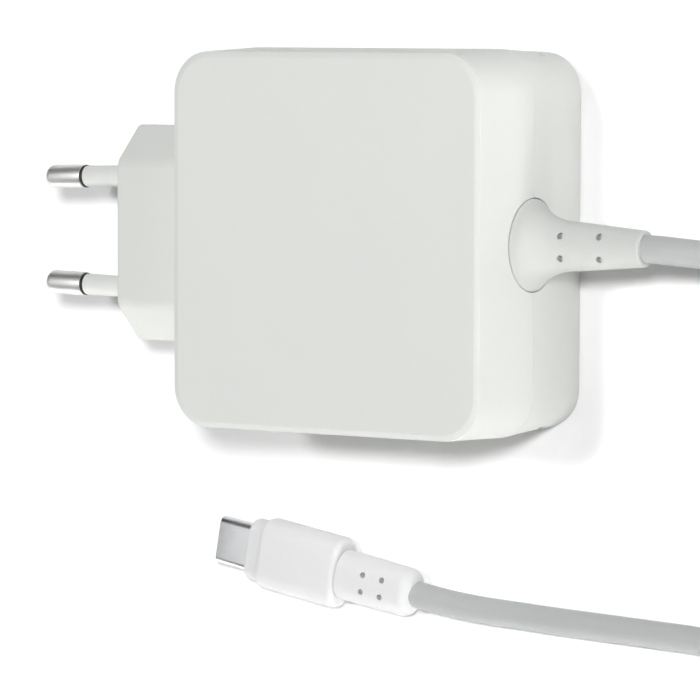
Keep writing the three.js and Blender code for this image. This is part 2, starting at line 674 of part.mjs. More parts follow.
// One row of contacts, joined behind so that it is a single piece.
function usbContacts(side) {
  const outer = 0.43 * side;
  const inner = outer - CONTACTS.thickness * side;
  const [z0, z1] = [Math.min(inner, outer), Math.max(inner, outer)];
  const halfRow = ((CONTACTS.count - 1) * CONTACTS.pitch) / 2;
  const back = 1 + CONTACTS.length;
  const bar = box(back, back + 0.3, -halfRow - 0.12, halfRow + 0.12, z0, z1);
  const strips = [];
  for (let i = 0; i < CONTACTS.count; i++) {
    const y = i * CONTACTS.pitch - halfRow;
    strips.push(box(1, back + 0.1, y - CONTACTS.width / 2, y + CONTACTS.width / 2, z0, z1));
  }
  return onUsbAxis(toGeometry(join(bar, ...strips)));
}

function usbOvermould() {
  const { halfWidth, halfHeight, start, end } = GRIP;
  const noseX = SHELL.visible + 0.1;
  const skin = skinAlongX([
    [noseX, NOSE.halfWidth - 0.5, NOSE.halfHeight - 0.4, 0.9],
    [noseX + 0.3, NOSE.halfWidth - 0.1, NOSE.halfHeight - 0.1, 0.9],
    [start - 0.5, NOSE.halfWidth, NOSE.halfHeight, 0.9],
    [start - 0.2, NOSE.halfWidth + 0.3, NOSE.halfHeight + 0.35, 0.9],
    [start + 0.5, halfWidth - 0.15, halfHeight - 0.12, 0.9],
    [start + 1.3, halfWidth, halfHeight, 0.9],
    [end - 1.3, halfWidth, halfHeight, 0.9],
    [end - 0.4, halfWidth - 0.35, halfHeight - 0.25, 0.9],
    [end, halfWidth - 1.0, halfHeight - 0.7, 0.9],
  ], 5);
  const socketY = SHELL.width / 2 + 0.15;
  const socketZ = SHELL.height / 2 + 0.15;
  const socketEnd = SHELL.length + 0.2;
  const socket = skinAlongX([[5, socketY, socketZ, 0.99], [socketEnd, socketY, socketZ, 0.99]]);
  return onUsbAxis(toGeometry(cut(toSolid(skin), socket)));
}

function usbRelief() {
  const root = GRIP.end + FIT;
  const sections = [[root, USB_RELIEF.root.halfWidth, USB_RELIEF.root.halfHeight, 0.99]];
  const { halfWidth, halfHeight, rounding } = USB_RELIEF.end;
  const steps = 4;
  for (let i = 0; i <= steps; i++) {
    const angle = (i / steps) * (Math.PI / 2);
    const x = root + USB_RELIEF.length - rounding * (1 - Math.sin(angle));
    const shrink = rounding * (1 - Math.cos(angle));
    sections.push([x, halfWidth - shrink, halfHeight - shrink, 0.99]);
  }
  const holes = [];
  const { radius, first, second, offset, depthFrom } = USB_HOLES;
  const beyond = USB_RELIEF.root.halfHeight + 1;
  for (const x of [root + first, root + second]) {
    for (const y of [offset, -offset]) {
      holes.push(rodAlongZ(depthFrom, beyond, radius, 10).translate(x, y, 0));
      holes.push(rodAlongZ(-beyond, -depthFrom, radius, 10).translate(x, y, 0));
    }
  }
  return onUsbAxis(toGeometry(cut(toSolid(skinAlongX(sections)), ...holes)));
}

// ---- circuit board and components -----------------------------------------------------

function circuitBoard() {
  const halfX = (BOARD.right - BOARD.left) / 2;
  const outline = roundedRectangle(halfX, BOARD.halfY, 2, 2);
  return prism(outline, BOARD.bottom, BOARD_TOP).translate((BOARD.left + BOARD.right) / 2, 0, 0);
}

// Ferrite frame with a middle leg that the winding goes round.
function transformerCore() {
  const { x, y, width, length, height, leg, yoke, lift } = TRANSFORMER;
  const base = BOARD_TOP + lift;
  const frame = box(-width / 2, width / 2, -length / 2, length / 2, base, base + height);
  const side = (sign) => {
    const edges = [(sign * leg) / 2, sign * (width / 2 - yoke)].sort((a, b) => a - b);
    return box(edges[0], edges[1], -length, length, base + yoke, base + height - yoke);
  };
  return toGeometry(cut(toSolid(frame), side(-1), side(1))).translate(x, y, 0);
}

function transformerWinding() {
  const { x, y, width, length, height, leg, yoke } = TRANSFORMER;
  const gap = 0.2;
  const lift = TRANSFORMER.lift + yoke + gap;
  const size = [width - 2 * (yoke + gap), length + 5, height - 2 * (yoke + gap)];
  const coil = block({ x: 0, y: 0, size, rounding: 1, lift });
  const halfY = length / 2 + gap;
  const tunnel = box(-leg / 2 - gap, leg / 2 + gap, -halfY, halfY, BOARD_TOP, DEPTH);
  return toGeometry(cut(toSolid(coil), tunnel)).translate(x, y, 0);
}

// Standing can capacitor with a rolled groove near its base.
function canCapacitor({ x, y, radius, height }) {
  const base = BOARD_TOP + SEAT;
  const top = base + height;
  const profile = [
    [0, base],
    [radius - 0.4, base],
    [radius, base + 0.4],
    [radius, base + 1.6],
    [radius - 0.5, base + 2.1],
    [radius, base + 2.6],
    [radius, top - 0.5],
    [radius - 0.5, top],
    [0, top],
  ];
  return turnedAlongZ(profile, 28).translate(x, y, 0);
}

// Ring wound with wire: its skin ripples once for each turn.
function toroid({ x, y, inner, outer, height, turns }) {
  const base = BOARD_TOP + SEAT;
  const profile = roundedRectangle((outer - inner) / 2, height / 2, 1, 2);
  const ring = profile.map(([r, z]) => [(inner + outer) / 2 + r, base + height / 2 + z]);
  ring.push(ring[0]);
  const geometry = turnedAlongZ(ring, turns * 2);
  const position = geometry.attributes.position;
  const middle = base + height / 2;
  const ripple = 0.03;
  for (let i = 0; i < position.count; i++) {
    const [px, py, pz] = [position.getX(i), position.getY(i), position.getZ(i)];
    const angle = Math.atan2(py, px);
    const wave = 1 - ripple + ripple * Math.cos(angle * turns);
    position.setXYZ(i, px * wave, py * wave, middle + (pz - middle) * wave);
  }
  return geometry.translate(x, y, 0);
}

function fuse() {
  const { x, y, lift, halfLength, halfTube, tube: tubeRadius, cap } = FUSE;
  const half = [[halfTube, tubeRadius], [halfTube + 0.1, cap], [halfLength, cap], [halfLength, 0]];
  const profile = [...half.map(([along, radius]) => [-along, radius]).reverse(), ...half];
  return turnedAlongX(profile, 16).rotateZ(Math.PI / 2).translate(x, y, BOARD_TOP + lift);
}

function discCapacitor() {
  const { x, y, lift, halfThickness, radius } = SAFETY_CAPACITOR;
  const half = [[halfThickness - 1, radius], [halfThickness - 0.4, radius - 0.5], [halfThickness, 0]];
  const profile = [...half.map(([along, r]) => [-along, r]).reverse(), ...half];
  return turnedAlongX(profile, 20).translate(x, y, BOARD_TOP + lift);
}

// Switching transistor: plastic body with its metal tab, standing against the heat sink.
function primarySwitch() {
  const { x, y, lift, size: [width, depth, height], tabTop } = SWITCH;
  const halfTab = width / 2 - 0.2;
  const back = y + depth / 2 - 0.1;
  const tabBottom = lift + height - 1;
  const tab = box(x - halfTab, x + halfTab, back - 1.2, back, BOARD_TOP + tabBottom, BOARD_TOP + tabTop);
  return toGeometry(join(block(SWITCH), tab));
}

function primaryHeatSink() {
  const { left, right, front, thickness, height, foot: footWidth } = HEAT_SINK;
  const base = BOARD_TOP + SEAT;
  const plate = box(left, right, front, front + thickness, base, base + height);
  const foot = box(left, left + footWidth, front - 4.2, front + 0.3, base, base + thickness);
  return toGeometry(join(plate, foot));
}

const spreaderTop = DEPTH - WALL - SPREADER.gap;

// Folded aluminium sheet above the components that spreads heat into the front shell.
function heatSpreader() {
  const { left, right, halfY, sheet, flap: flapHeight, flapHalfY } = SPREADER;
  const plate = box(left, right, -halfY, halfY, spreaderTop - sheet, spreaderTop);
  const flapTop = spreaderTop - sheet / 2;
  const flap = box(right - sheet, right, -flapHalfY, flapHalfY, spreaderTop - flapHeight, flapTop);
  return toGeometry(join(plate, flap));
}

function insulationSheet() {
  const { half, thickness, gap } = PAPER;
  const top = spreaderTop - SPREADER.sheet - gap;
  return box(-half, half, -half, half, top - thickness, top);
}

function controllerBoard() {
  const { x, y, width, thickness, height } = CONTROLLER_BOARD;
  const base = BOARD_TOP + SEAT;
  const [halfX, halfY] = [width / 2, thickness / 2];
  return box(x - halfX, x + halfX, y - halfY, y + halfY, base, base + height);
}

function mainsWire(side) {
  const tailX = plugFaceX + PIN.tail;
  const tailY = side * (PIN_SPACING / 2 + Math.sin(pinTilt) * PIN.tail);
  return tube([
    [tailX + 0.4, tailY, MIDDLE],
    [tailX + 0.8, tailY + side * 0.1, MIDDLE],
    [tailX + 1.0, tailY + side * 1.4, MIDDLE - 0.3],
    [tailX + 0.6, tailY + side * 4.5, MIDDLE - 1.2],
    [tailX + 0.2, side * 19.5, BOARD_TOP + 6.6],
    [tailX, side * 21.9, BOARD_TOP + 3.6],
    [tailX, side * 22.4, BOARD_TOP + 0.3],
  ], MAINS_WIRE, 16, 8);
}

function outputWire(side) {
  const startX = glandStartX - FIT;
  return tube([
    [startX, side * 1.5, MIDDLE - 1],
    [startX - 0.5, side * 1.5, MIDDLE - 1],
    [startX - 1.4, side * 1.8, MIDDLE - 2.2],
    [startX - 1.5, side * 2.5, MIDDLE - 6],
    [startX - 1.4, side * 2.8, BOARD_TOP + 0.3],
  ], OUTPUT_WIRE, 14, 8);
}

// ---- assembly -------------------------------------------------------------------------

const part = new THREE.Group();
part.name = "laptop_power_adapter";

function add(name, geometry, surface) {
  const finished = closed(geometry);
  finished.computeVertexNormals();
  const mesh = new THREE.Mesh(finished, surface);
  mesh.name = name;
  part.add(mesh);
}

function addHousing() {
  add("front_shell", frontShell(), whitePlastic);
  add("rear_shell", rearShell(), whitePlastic);
  const hook = cordHook();
  const hinge = hookHinge();
  add("cord_hook_upper", hook, whitePlastic);
  add("cord_hook_lower", mirrorY(hook), whitePlastic);
  add("hook_hinge_upper", hinge, steel);
  add("hook_hinge_lower", mirrorY(hinge), steel);
}

function addPlug() {
  add("plug_block", plugBlock(), whitePlastic);
  for (const [label, side] of [["upper", 1], ["lower", -1]]) {
    add(`pin_${label}`, onPinAxis(pinBody(), side), nickel);
    add(`pin_sleeve_${label}`, onPinAxis(pinSleeve(), side), whiteRubber);
    add(`pin_collar_${label}`, onPinAxis(pinCollar(), side), blackPlastic);
  }
}

function addCord() {
  add("strain_relief", strainRelief(), whiteRubber);
  add("cord_adapter_end", adapterCord(), cordWhite);
  add("cord_coil", cordCoil(), cordWhite);
  add("coil_tie", coilTie(), tieBlack);
  add("cord_usb_end", usbCord(), cordWhite);
}

function addUsbPlug() {
  add("usb_strain_relief", usbRelief(), whiteRubber);
  add("usb_overmould", usbOvermould(), whiteRubber);
  add("usb_shell", usbShell(), steel);
  add("usb_insulator", usbInsulator(), blackPlastic);
  add("usb_contacts_upper", usbContacts(1), gold);
  add("usb_contacts_lower", usbContacts(-1), gold);
}

function addPowerStage() {
  add("circuit_board", circuitBoard(), boardGreen);
  add("fuse", fuse(), glassFuse);
  add("mains_filter_choke", toroid(MAINS_CHOKE), copper);
  add("mains_filter_capacitor", block(MAINS_CAPACITOR), boxYellow);
  add("rectifier_bridge", block(BRIDGE), chipBlack);
  add("bulk_capacitor", canCapacitor(BULK_CAPACITOR), blackPlastic);
  add("primary_switch", primarySwitch(), chipBlack);
  add("primary_heat_sink", primaryHeatSink(), aluminium);
  add("transformer_core", transformerCore(), ferrite);
  add("transformer_winding", transformerWinding(), tapeYellow);
  add("safety_capacitor", discCapacitor(), blueEpoxy);
  add("optocoupler", block(OPTOCOUPLER), chipBlack);
}

function addOutputStage() {
  add("output_capacitor_a", canCapacitor(OUTPUT_CAPACITOR_A), capacitorGreen);
  add("output_capacitor_b", canCapacitor(OUTPUT_CAPACITOR_B), capacitorGreen);
  add("output_choke", toroid(OUTPUT_CHOKE), copper);
  add("rectifier_chip", block(RECTIFIER), chipBlack);
  add("controller_board", controllerBoard(), boardGreen);
  add("controller_chip", block(CONTROLLER_CHIP), chipBlack);
  add("heat_spreader", heatSpreader(), aluminium);
  add("insulation_sheet", insulationSheet(), paperSheet);
  add("live_wire", mainsWire(1), wireBrown);
  add("neutral_wire", mainsWire(-1), wireBlue);
  add("output_wire_positive", outputWire(1), wireRed);
  add("output_wire_negative", outputWire(-1), chipBlack);
}

addHousing();
addPlug();
addCord();
addUsbPlug();
addPowerStage();
addOutputStage();

export default part;
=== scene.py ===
"""Looks of the laptop power adapter: smooth moulded shells, two-pin plug, flared strain
relief, coiled cord and USB-C plug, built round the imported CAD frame."""

import json
import math

import bmesh
import bpy
from mathutils import Matrix, Vector


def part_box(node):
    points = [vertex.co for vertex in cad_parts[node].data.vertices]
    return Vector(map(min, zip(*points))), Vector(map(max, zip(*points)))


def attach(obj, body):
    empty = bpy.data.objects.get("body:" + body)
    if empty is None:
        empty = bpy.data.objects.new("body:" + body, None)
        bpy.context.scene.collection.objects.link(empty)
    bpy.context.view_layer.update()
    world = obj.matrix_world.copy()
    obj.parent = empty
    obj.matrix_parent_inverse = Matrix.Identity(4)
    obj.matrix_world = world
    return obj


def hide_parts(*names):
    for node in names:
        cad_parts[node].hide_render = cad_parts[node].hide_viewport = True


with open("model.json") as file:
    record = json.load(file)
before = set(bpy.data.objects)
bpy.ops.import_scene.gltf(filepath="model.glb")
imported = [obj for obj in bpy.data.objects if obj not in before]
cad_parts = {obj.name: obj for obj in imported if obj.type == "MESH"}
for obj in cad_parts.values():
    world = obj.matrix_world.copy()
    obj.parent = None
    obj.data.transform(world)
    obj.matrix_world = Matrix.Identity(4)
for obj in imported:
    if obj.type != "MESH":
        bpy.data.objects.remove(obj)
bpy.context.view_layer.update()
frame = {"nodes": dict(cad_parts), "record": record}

MM = 0.001
SMOOTH_BELOW = 35.0  # degrees between faces

# ---- sizes in millimetres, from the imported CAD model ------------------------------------

rear_low, rear_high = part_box("rear_shell")
WIDTH = (rear_high.x - rear_low.x) / MM
HEIGHT = (rear_high.y - rear_low.y) / MM
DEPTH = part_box("front_shell")[1].z / MM
MIDDLE = DEPTH / 2
WALL = 2.2
CORNER = 7.0
DRAFT = 0.6
BAND_WIDTH = 1.0  # band round a big face that falls away to a crisp edge
BAND_FALL = math.radians(15)
BAND_ROUNDING = 0.8
CRISP_EDGE = 0.12  # rounding of that edge
SEAM = 0.01  # half of the gap between the shells
SEAM_EDGE = 0.06  # rounding of the shells' edges at the gap

plug_low, plug_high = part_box("plug_block")
PLUG_FACE_X = plug_low.x / MM
PLUG_HALF = 18.25
PLUG_FLAT = 12.15  # half width of its flat faces
PLUG_SIDE = 0.6  # half thickness at its narrow sides
PLUG_ROUNDING = {"side": 1.3, "flat": 3.0, "face": 0.8}
PLUG_FLANGE = {"thickness": 1.7, "beyond_y": 1.7, "beyond_z": 1.5}
PLUG_HALF_Z = (plug_high.z - plug_low.z) / MM / 2 - PLUG_FLANGE["beyond_z"]
PLUG_FLANGE_X = -WIDTH / 2 + WALL + 0.6
PLUG_WINDOW_GAP = 0.12
PIN_SPACING = 19.0
PIN_SPACING_AT_TIPS = 18.0
PIN_LENGTH = 18.8
PIN_TILT = math.atan2((PIN_SPACING - PIN_SPACING_AT_TIPS) / 2, PIN_LENGTH)
PIN_BARE = 7.5
PIN_SHOULDER = -PIN_LENGTH + PIN_BARE  # end of the bare metal, from the plug's face
PIN_TAIL = 23.5  # end of its core, inside the housing
PIN_TIP = {"flat": 0.7, "rounding": 1.25}
PIN_RADIUS, CORE_RADIUS, SLEEVE_RADIUS, SLEEVE_BORE = 2.0, 1.2, 1.8, 1.4
COLLAR_RADIUS = 1.93
COLLAR_FROM, COLLAR_TO, SLEEVE_FROM = 0.04, 0.40, 0.44  # from the end of the bare metal
PIN_EDGE, COLLAR_EDGE, SLEEVE_EDGE = 0.12, 0.1, 0.15  # roundings
SLEEVE_DEPTH = 3.0  # into the plug block

RELIEF_END_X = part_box("strain_relief")[1].x / MM
RELIEF_WAIST_X = 38.4
RELIEF_FLARE = 7.2  # radius at the housing's wall
RELIEF_WAIST = 3.95
RELIEF_END = 2.95
RELIEF_NECK = 7.48  # radius inside the wall
RELIEF_OPENING = 7.62  # radius of the wall's hole
RELIEF_FLANGE = 9.2  # radius behind the wall
RELIEF_TAIL = 4.4
RELIEF_HOLES = {"places": (36.9, 43.7), "across": 1.8, "radius": 0.55, "depth": 1.3}

CORD = 4.5
COIL_X, COIL_Y, COIL_RADIUS = 98.0, -36.2, 24.9
COIL_BASE = 1.5  # height of the lowest turns where the tie passes under them
COIL_ROWS = 4
COIL_TURNS = 10.5
COIL_POINTS = 24  # a turn
COIL_FIRST_CHANGE = 0.86  # turn at which the cord first steps over into the next slot
COIL_CHANGE = 0.34  # of a turn, to step over
COIL_CORNER_LEAD = 0.07  # of a turn, earlier where the winding changes direction
COIL_ENTRY = 0.2  # of a turn, to come in from the side
COIL_EXIT = 0.22  # of a turn, to go out over the side
COIL_SIDE = 34.2  # radius at which the cord comes in and goes out
FLOOR_GAP = 0.1
FLOOR_CORD = CORD / 2 + FLOOR_GAP  # height of its centreline along the floor

USB_X, USB_Y, USB_Z = -39.3, -53.0, 3.5  # mouth of its metal shell
USB_TURN = math.radians(-9.8)
USB_SHELL = {"half": (4.17, 1.28), "wall": 0.3, "length": 8.0}
USB_NOSE = {"start": 6.75, "end": 9.25, "half": (5.3, 2.65)}
USB_GRIP = {"start": 9.5, "end": 25.5, "half": (6.1, 3.45)}
USB_RELIEF = {"end": 40.2, "root": (4.3, 3.3), "tip": (4.1, 3.2), "rounding": 2.2}
USB_HOLES = {"places": (5.2, 9.0), "across": 1.45, "radius": 0.5, "depth_from": 1.7}
OVAL, BLUNT = 0.99, 0.9  # corner rounding as a share of the half height

HOOK_PIN_X = WIDTH / 2 - 6.15
HOOK_PIN_Y = HEIGHT / 2 - 2.3
HOOK_LENGTH = 22.0
HOOK_LOW, HOOK_HIGH = 5.9, 13.9
HOOK_KNUCKLE = 1.8  # radius of its root round the hinge pin
HOOK_SWING = 2.35  # radius that the root needs to turn
HOOK_BORE, SHELL_BORE = 0.83, 0.8  # radii round the hinge pin
FIT = 0.3  # gap between fitted pieces
FINGER_GAP = 1.6  # room to reach behind the hook's tip
RECESS_LEFT = HOOK_PIN_X - HOOK_LENGTH - FINGER_GAP
RECESS_FLOOR = HOOK_PIN_Y - HOOK_SWING
POCKET_WALL = 1.3

# ---- camera -----------------------------------------------------------------------------


def turned(first, second, angle):
    """Both of two square axes turned by an angle, the first towards the second."""
    cosine, sine = math.cos(angle), math.sin(angle)
    return first * cosine + second * sine, second * cosine - first * sine


def add_camera():
    """Long lens above the adapter, moved towards the cord side, upright along +Y."""
    yaw, pitch, roll = 0.57496, 0.07330, 0.00235
    aside, above, away = -13.03, -19.01, 758.0  # from the origin, along its own axes
    right = Vector((math.cos(yaw), 0, -math.sin(yaw)))
    up = Vector((0, 1, 0))
    back = Vector((math.sin(yaw), 0, math.cos(yaw)))
    back, up = turned(back, up, pitch)
    right, up = turned(right, up, roll)
    place = (right * aside + up * above + back * away) * MM
    data = bpy.data.cameras.new("camera")
    data.sensor_width = 36.0
    data.lens = 233.7
    data.clip_start = 0.01
    camera = bpy.data.objects.new("camera", data)
    bpy.context.scene.collection.objects.link(camera)
    turn = Matrix((right, up, back)).transposed().to_4x4()
    camera.matrix_world = Matrix.Translation(place) @ turn
    bpy.context.scene.camera = camera


add_camera()

# ---- mesh helpers -----------------------------------------------------------------------


def make(name, vertices, faces, smooth_angle=SMOOTH_BELOW):
    """Mesh object from millimetre points, faces turned outward, smooth below an angle."""
    mesh = bpy.data.meshes.new(name)
    mesh.from_pydata([Vector(v) * MM for v in vertices], [], faces)
    work = bmesh.new()
    work.from_mesh(mesh)
    bmesh.ops.remove_doubles(work, verts=work.verts, dist=1e-7)
    bmesh.ops.recalc_face_normals(work, faces=work.faces)
    work.to_mesh(mesh)
    work.free()
    shade(mesh, smooth_angle)
    thing = bpy.data.objects.new(name, mesh)
    bpy.context.scene.collection.objects.link(thing)
    return thing


def shade(mesh, angle=SMOOTH_BELOW):
    mesh.shade_smooth()
    mesh.set_sharp_from_angle(angle=math.radians(angle))


def rounded_rectangle(half_x, half_y, radius, steps):
    """Anticlockwise outline round the origin."""
    points = []
    for quarter, (sx, sy) in enumerate([(1, 1), (-1, 1), (-1, -1), (1, -1)]):
        for i in range(steps + 1):
            angle = (quarter + i / steps) * math.pi / 2
            x = sx * (half_x - radius) + radius * math.cos(angle)
            y = sy * (half_y - radius) + radius * math.sin(angle)
            points.append((x, y))
    return points


def loft(rings):
    """Skin through rings of equal length, with a flat cap at each end."""
    size = len(rings[0])
    vertices = [p for ring in rings for p in ring]
    faces = []
    for r in range(len(rings) - 1):
        for i in range(size):
            a, b = r * size + i, r * size + (i + 1) % size
            faces.append((a, b, b + size, a + size))
    faces.append(tuple(range(size)))
    last = (len(rings) - 1) * size
    faces.append(tuple(range(last, last + size)))
    return vertices, faces


def revolve(profile, segments, closed=False):
    """Turned skin round X from (x, radius) pairs; open profiles start and end on the axis."""
    vertices, faces, rows = [], [], []
    for x, radius in profile:
        if radius < 1e-6:
            rows.append([len(vertices)])
            vertices.append((x, 0, 0))
            continue
        rows.append([len(vertices) + i for i in range(segments)])
        for i in range(segments):
            angle = 2 * math.pi * i / segments
            vertices.append((x, radius * math.cos(angle), radius * math.sin(angle)))
    pairs = list(zip(rows, rows[1:])) + ([(rows[-1], rows[0])] if closed else [])
    for first, second in pairs:
        for i in range(segments):
            j = (i + 1) % segments
            corners = [first[i % len(first)], first[j % len(first)]]
            corners += [second[j % len(second)], second[i % len(second)]]
            faces.append(tuple(dict.fromkeys(corners)))
    return vertices, [f for f in faces if len(f) > 2]


def placed(vertices, matrix):
    return [tuple(matrix @ Vector(v)) for v in vertices]


def prism(outline, z0, z1):
    return loft([[(x, y, z0) for x, y in outline], [(x, y, z1) for x, y in outline]])


def box(x0, x1, y0, y1, z0, z1):
    return prism([(x1, y1), (x0, y1), (x0, y0), (x1, y0)], z0, z1)


def rod_z(x, y, z0, z1, radius, segments=48):
    outline = [(x + radius * math.cos(2 * math.pi * i / segments),
                y + radius * math.sin(2 * math.pi * i / segments)) for i in range(segments)]
    return prism(outline, z0, z1)


def boolean(target, operation, *tools):
    """Joins or cuts a mesh with temporary tools, each given as (vertices, faces)."""
    for vertices, faces in tools:
        tool = make("tool", vertices, faces)
        modifier = target.modifiers.new("cut", "BOOLEAN")
        modifier.operation = operation
        modifier.solver = "EXACT"
        modifier.object = tool
        apply_modifiers(target)
        bpy.data.objects.remove(tool)
    shade(target.data)


def apply_modifiers(target):
    graph = bpy.context.evaluated_depsgraph_get()
    mesh = bpy.data.meshes.new_from_object(target.evaluated_get(graph))
    target.modifiers.clear()
    target.data = mesh


def soften(target, width, angle):
    """Rounds the edges sharper than an angle by a small radius in millimetres."""
    modifier = target.modifiers.new("soften", "BEVEL")
    modifier.width = width * MM
    modifier.segments = 2
    modifier.limit_method = "ANGLE"
    modifier.angle_limit = math.radians(angle)
    modifier.miter_outer = "MITER_ARC"
    apply_modifiers(target)
    shade(target.data)


def finish_piece(thing, material, body, slot, *nodes):
    thing.data.materials.clear()
    thing.data.materials.append(material)
    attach(thing, body)
    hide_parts(*nodes)
    return thing


# ---- material helpers -------------------------------------------------------------------


def connect(tree, value, socket):
    """Feeds an input from another node's output, or sets it to a plain value."""
    if isinstance(value, bpy.types.NodeSocket):
        tree.links.new(value, socket)
    else:
        socket.default_value = value


class Nodes:
    """Short way to wire a Principled material from procedural textures."""

    def __init__(self, name):
        self.material = bpy.data.materials.new(name)
        self.material.use_nodes = True
        self.tree = self.material.node_tree
        self.surface = self.tree.nodes["Principled BSDF"]
        self.place = self.tree.nodes.new("ShaderNodeTexCoord").outputs["Object"]

    def add(self, kind, inputs=(), **settings):
        node = self.tree.nodes.new(kind)
        for key, value in settings.items():
            setattr(node, key, value)
        for key, value in dict(inputs).items():
            connect(self.tree, value, node.inputs[key])
        return node

    def noise(self, size_mm, detail=2.0, roughness=0.5):
        inputs = {"Vector": self.place, "Scale": 1 / (size_mm * MM), "Detail": detail}
        return self.add("ShaderNodeTexNoise", {**inputs, "Roughness": roughness}).outputs["Fac"]

    def ramp(self, value, low, high, start=0.3, end=0.7):
        """Maps a texture onto a range of numbers."""
        inputs = {"Value": value, "From Min": start, "From Max": end, "To Min": low, "To Max": high}
        return self.add("ShaderNodeMapRange", inputs).outputs["Result"]

    def mix(self, factor, first, second):
        """Blends two fixed colours by a texture."""
        node = self.add("ShaderNodeMix", data_type="RGBA")
        connect(self.tree, factor, node.inputs["Factor"])
        first_socket, second_socket = node.inputs[6], node.inputs[7]  # the two of colour type
        connect(self.tree, (*first, 1.0), first_socket)
        connect(self.tree, (*second, 1.0), second_socket)
        return node.outputs[2]

    def set(self, **inputs):
        for key, value in inputs.items():
            socket = self.surface.inputs[key.replace("_", " ")]
            connect(self.tree, value, socket)

    def bump(self, height, depth_mm):
        bump = self.add("ShaderNodeBump", {"Height": height, "Distance": depth_mm * MM})
        connect(self.tree, bump.outputs["Normal"], self.surface.inputs["Normal"])


def moulded(name, colour, shade_colour, roughness, grain_mm, depth_mm, scatter=0.0):
    """Moulded plastic: spark-eroded grain, faint flow clouds and uneven gloss."""
    nodes = Nodes(name)
    cloud = nodes.noise(14.0, 3.0)
    speck = nodes.noise(grain_mm * 3, 2.0)
    parts = {0: nodes.ramp(cloud, 0, 0.7), 1: nodes.ramp(speck, 0, 0.3)}
    tone = nodes.add("ShaderNodeMath", parts, operation="ADD").outputs[0]
    nodes.set(Base_Color=nodes.mix(tone, colour, shade_colour))
    nodes.set(Roughness=nodes.ramp(nodes.noise(6.0, 4.0), roughness - 0.05, roughness + 0.06))
    nodes.set(Specular_IOR_Level=0.32)
    if scatter:
        nodes.set(Subsurface_Weight=scatter, Subsurface_Radius=(1.0, 0.95, 0.85), Subsurface_Scale=0.0012)
    nodes.bump(nodes.noise(grain_mm, 3.0, 0.6), depth_mm)
    return nodes.material


def metal(name, colour, shade_colour, roughness, streak=(1, 1, 1), size_mm=0.4, depth_mm=0.002):
    """Metal with fine drawn or rolled streaks and small tarnish clouds."""
    nodes = Nodes(name)
    scale = nodes.add("ShaderNodeMapping", {"Vector": nodes.place, "Scale": streak}).outputs["Vector"]
    noise = {"Vector": scale, "Scale": 1 / (size_mm * MM), "Detail": 4.0, "Roughness": 0.6}
    lines = nodes.add("ShaderNodeTexNoise", noise).outputs["Fac"]
    cloud = nodes.noise(3.0, 3.0)
    nodes.set(Metallic=1.0, Base_Color=nodes.mix(nodes.ramp(cloud, 0, 1), colour, shade_colour))
    nodes.set(Roughness=nodes.ramp(lines, roughness - 0.06, roughness + 0.10))
    nodes.bump(lines, depth_mm)
    return nodes.material


def painted(name, colour, shade_colour, roughness, size_mm=1.0, depth_mm=0.01, coat=0.0):
    """Coated or dipped surface with slow colour change and a soft orange-peel."""
    nodes = Nodes(name)
    nodes.set(Base_Color=nodes.mix(nodes.ramp(nodes.noise(size_mm * 2, 3.0), 0, 1), colour, shade_colour))
    nodes.set(Roughness=nodes.ramp(nodes.noise(size_mm, 3.0), roughness - 0.06, roughness + 0.08))
    nodes.set(Coat_Weight=coat, Coat_Roughness=0.15)
    nodes.bump(nodes.noise(size_mm * 0.6, 2.0), depth_mm)
    return nodes.material


def woven(name, colour, shade_colour):
    """Hook-and-loop strap: a fine woven rib under a short loose pile."""
    nodes = Nodes(name)
    wave = {"Vector": nodes.place, "Scale": 1 / (1.1 * MM), "Distortion": 1.5, "Detail": 2.0}
    ribs = nodes.add("ShaderNodeTexWave", wave, bands_direction="Y").outputs["Fac"]
    pile = nodes.noise(0.25, 4.0, 0.7)
    height = nodes.add("ShaderNodeMath", {0: ribs, 1: pile}, operation="ADD").outputs[0]
    nodes.set(Base_Color=nodes.mix(nodes.ramp(pile, 0, 1), colour, shade_colour), Roughness=0.85)
    nodes.set(Sheen_Weight=0.4)
    nodes.bump(height, 0.12)
    return nodes.material


WHITE = moulded("white_plastic", (0.60, 0.61, 0.59), (0.588, 0.598, 0.58), 0.48, 0.16, 0.010)
SOFT = moulded("white_soft", (0.515, 0.525, 0.51), (0.50, 0.51, 0.495), 0.55, 0.22, 0.012, 0.1)
USB_SOFT = moulded("usb_white", (0.66, 0.66, 0.664), (0.64, 0.64, 0.645), 0.50, 0.22, 0.012, 0.1)
SLEEVE = moulded("white_sleeve", (0.66, 0.67, 0.65), (0.64, 0.65, 0.63), 0.40, 0.3, 0.006, 0.1)
JACKET = moulded("cord_jacket", (0.405, 0.415, 0.415), (0.385, 0.395, 0.395), 0.50, 0.30, 0.012, 0.1)
BLACK = moulded("black_plastic", (0.018, 0.018, 0.019), (0.03, 0.03, 0.03), 0.42, 0.2, 0.006)
NICKEL = metal("nickel", (0.76, 0.755, 0.75), (0.66, 0.655, 0.65), 0.46, (0.8, 1, 1), 0.25, 0.003)
STEEL = metal("steel", (0.72, 0.73, 0.75), (0.66, 0.67, 0.69), 0.32, (0.12, 1, 1), 0.3, 0.0006)
GOLD = metal("contact_gold", (0.92, 0.72, 0.36), (0.85, 0.64, 0.28), 0.22)
STRAP = woven("tie_strap", (0.03, 0.03, 0.032), (0.07, 0.07, 0.072))

# ---- housing ----------------------------------------------------------------------------


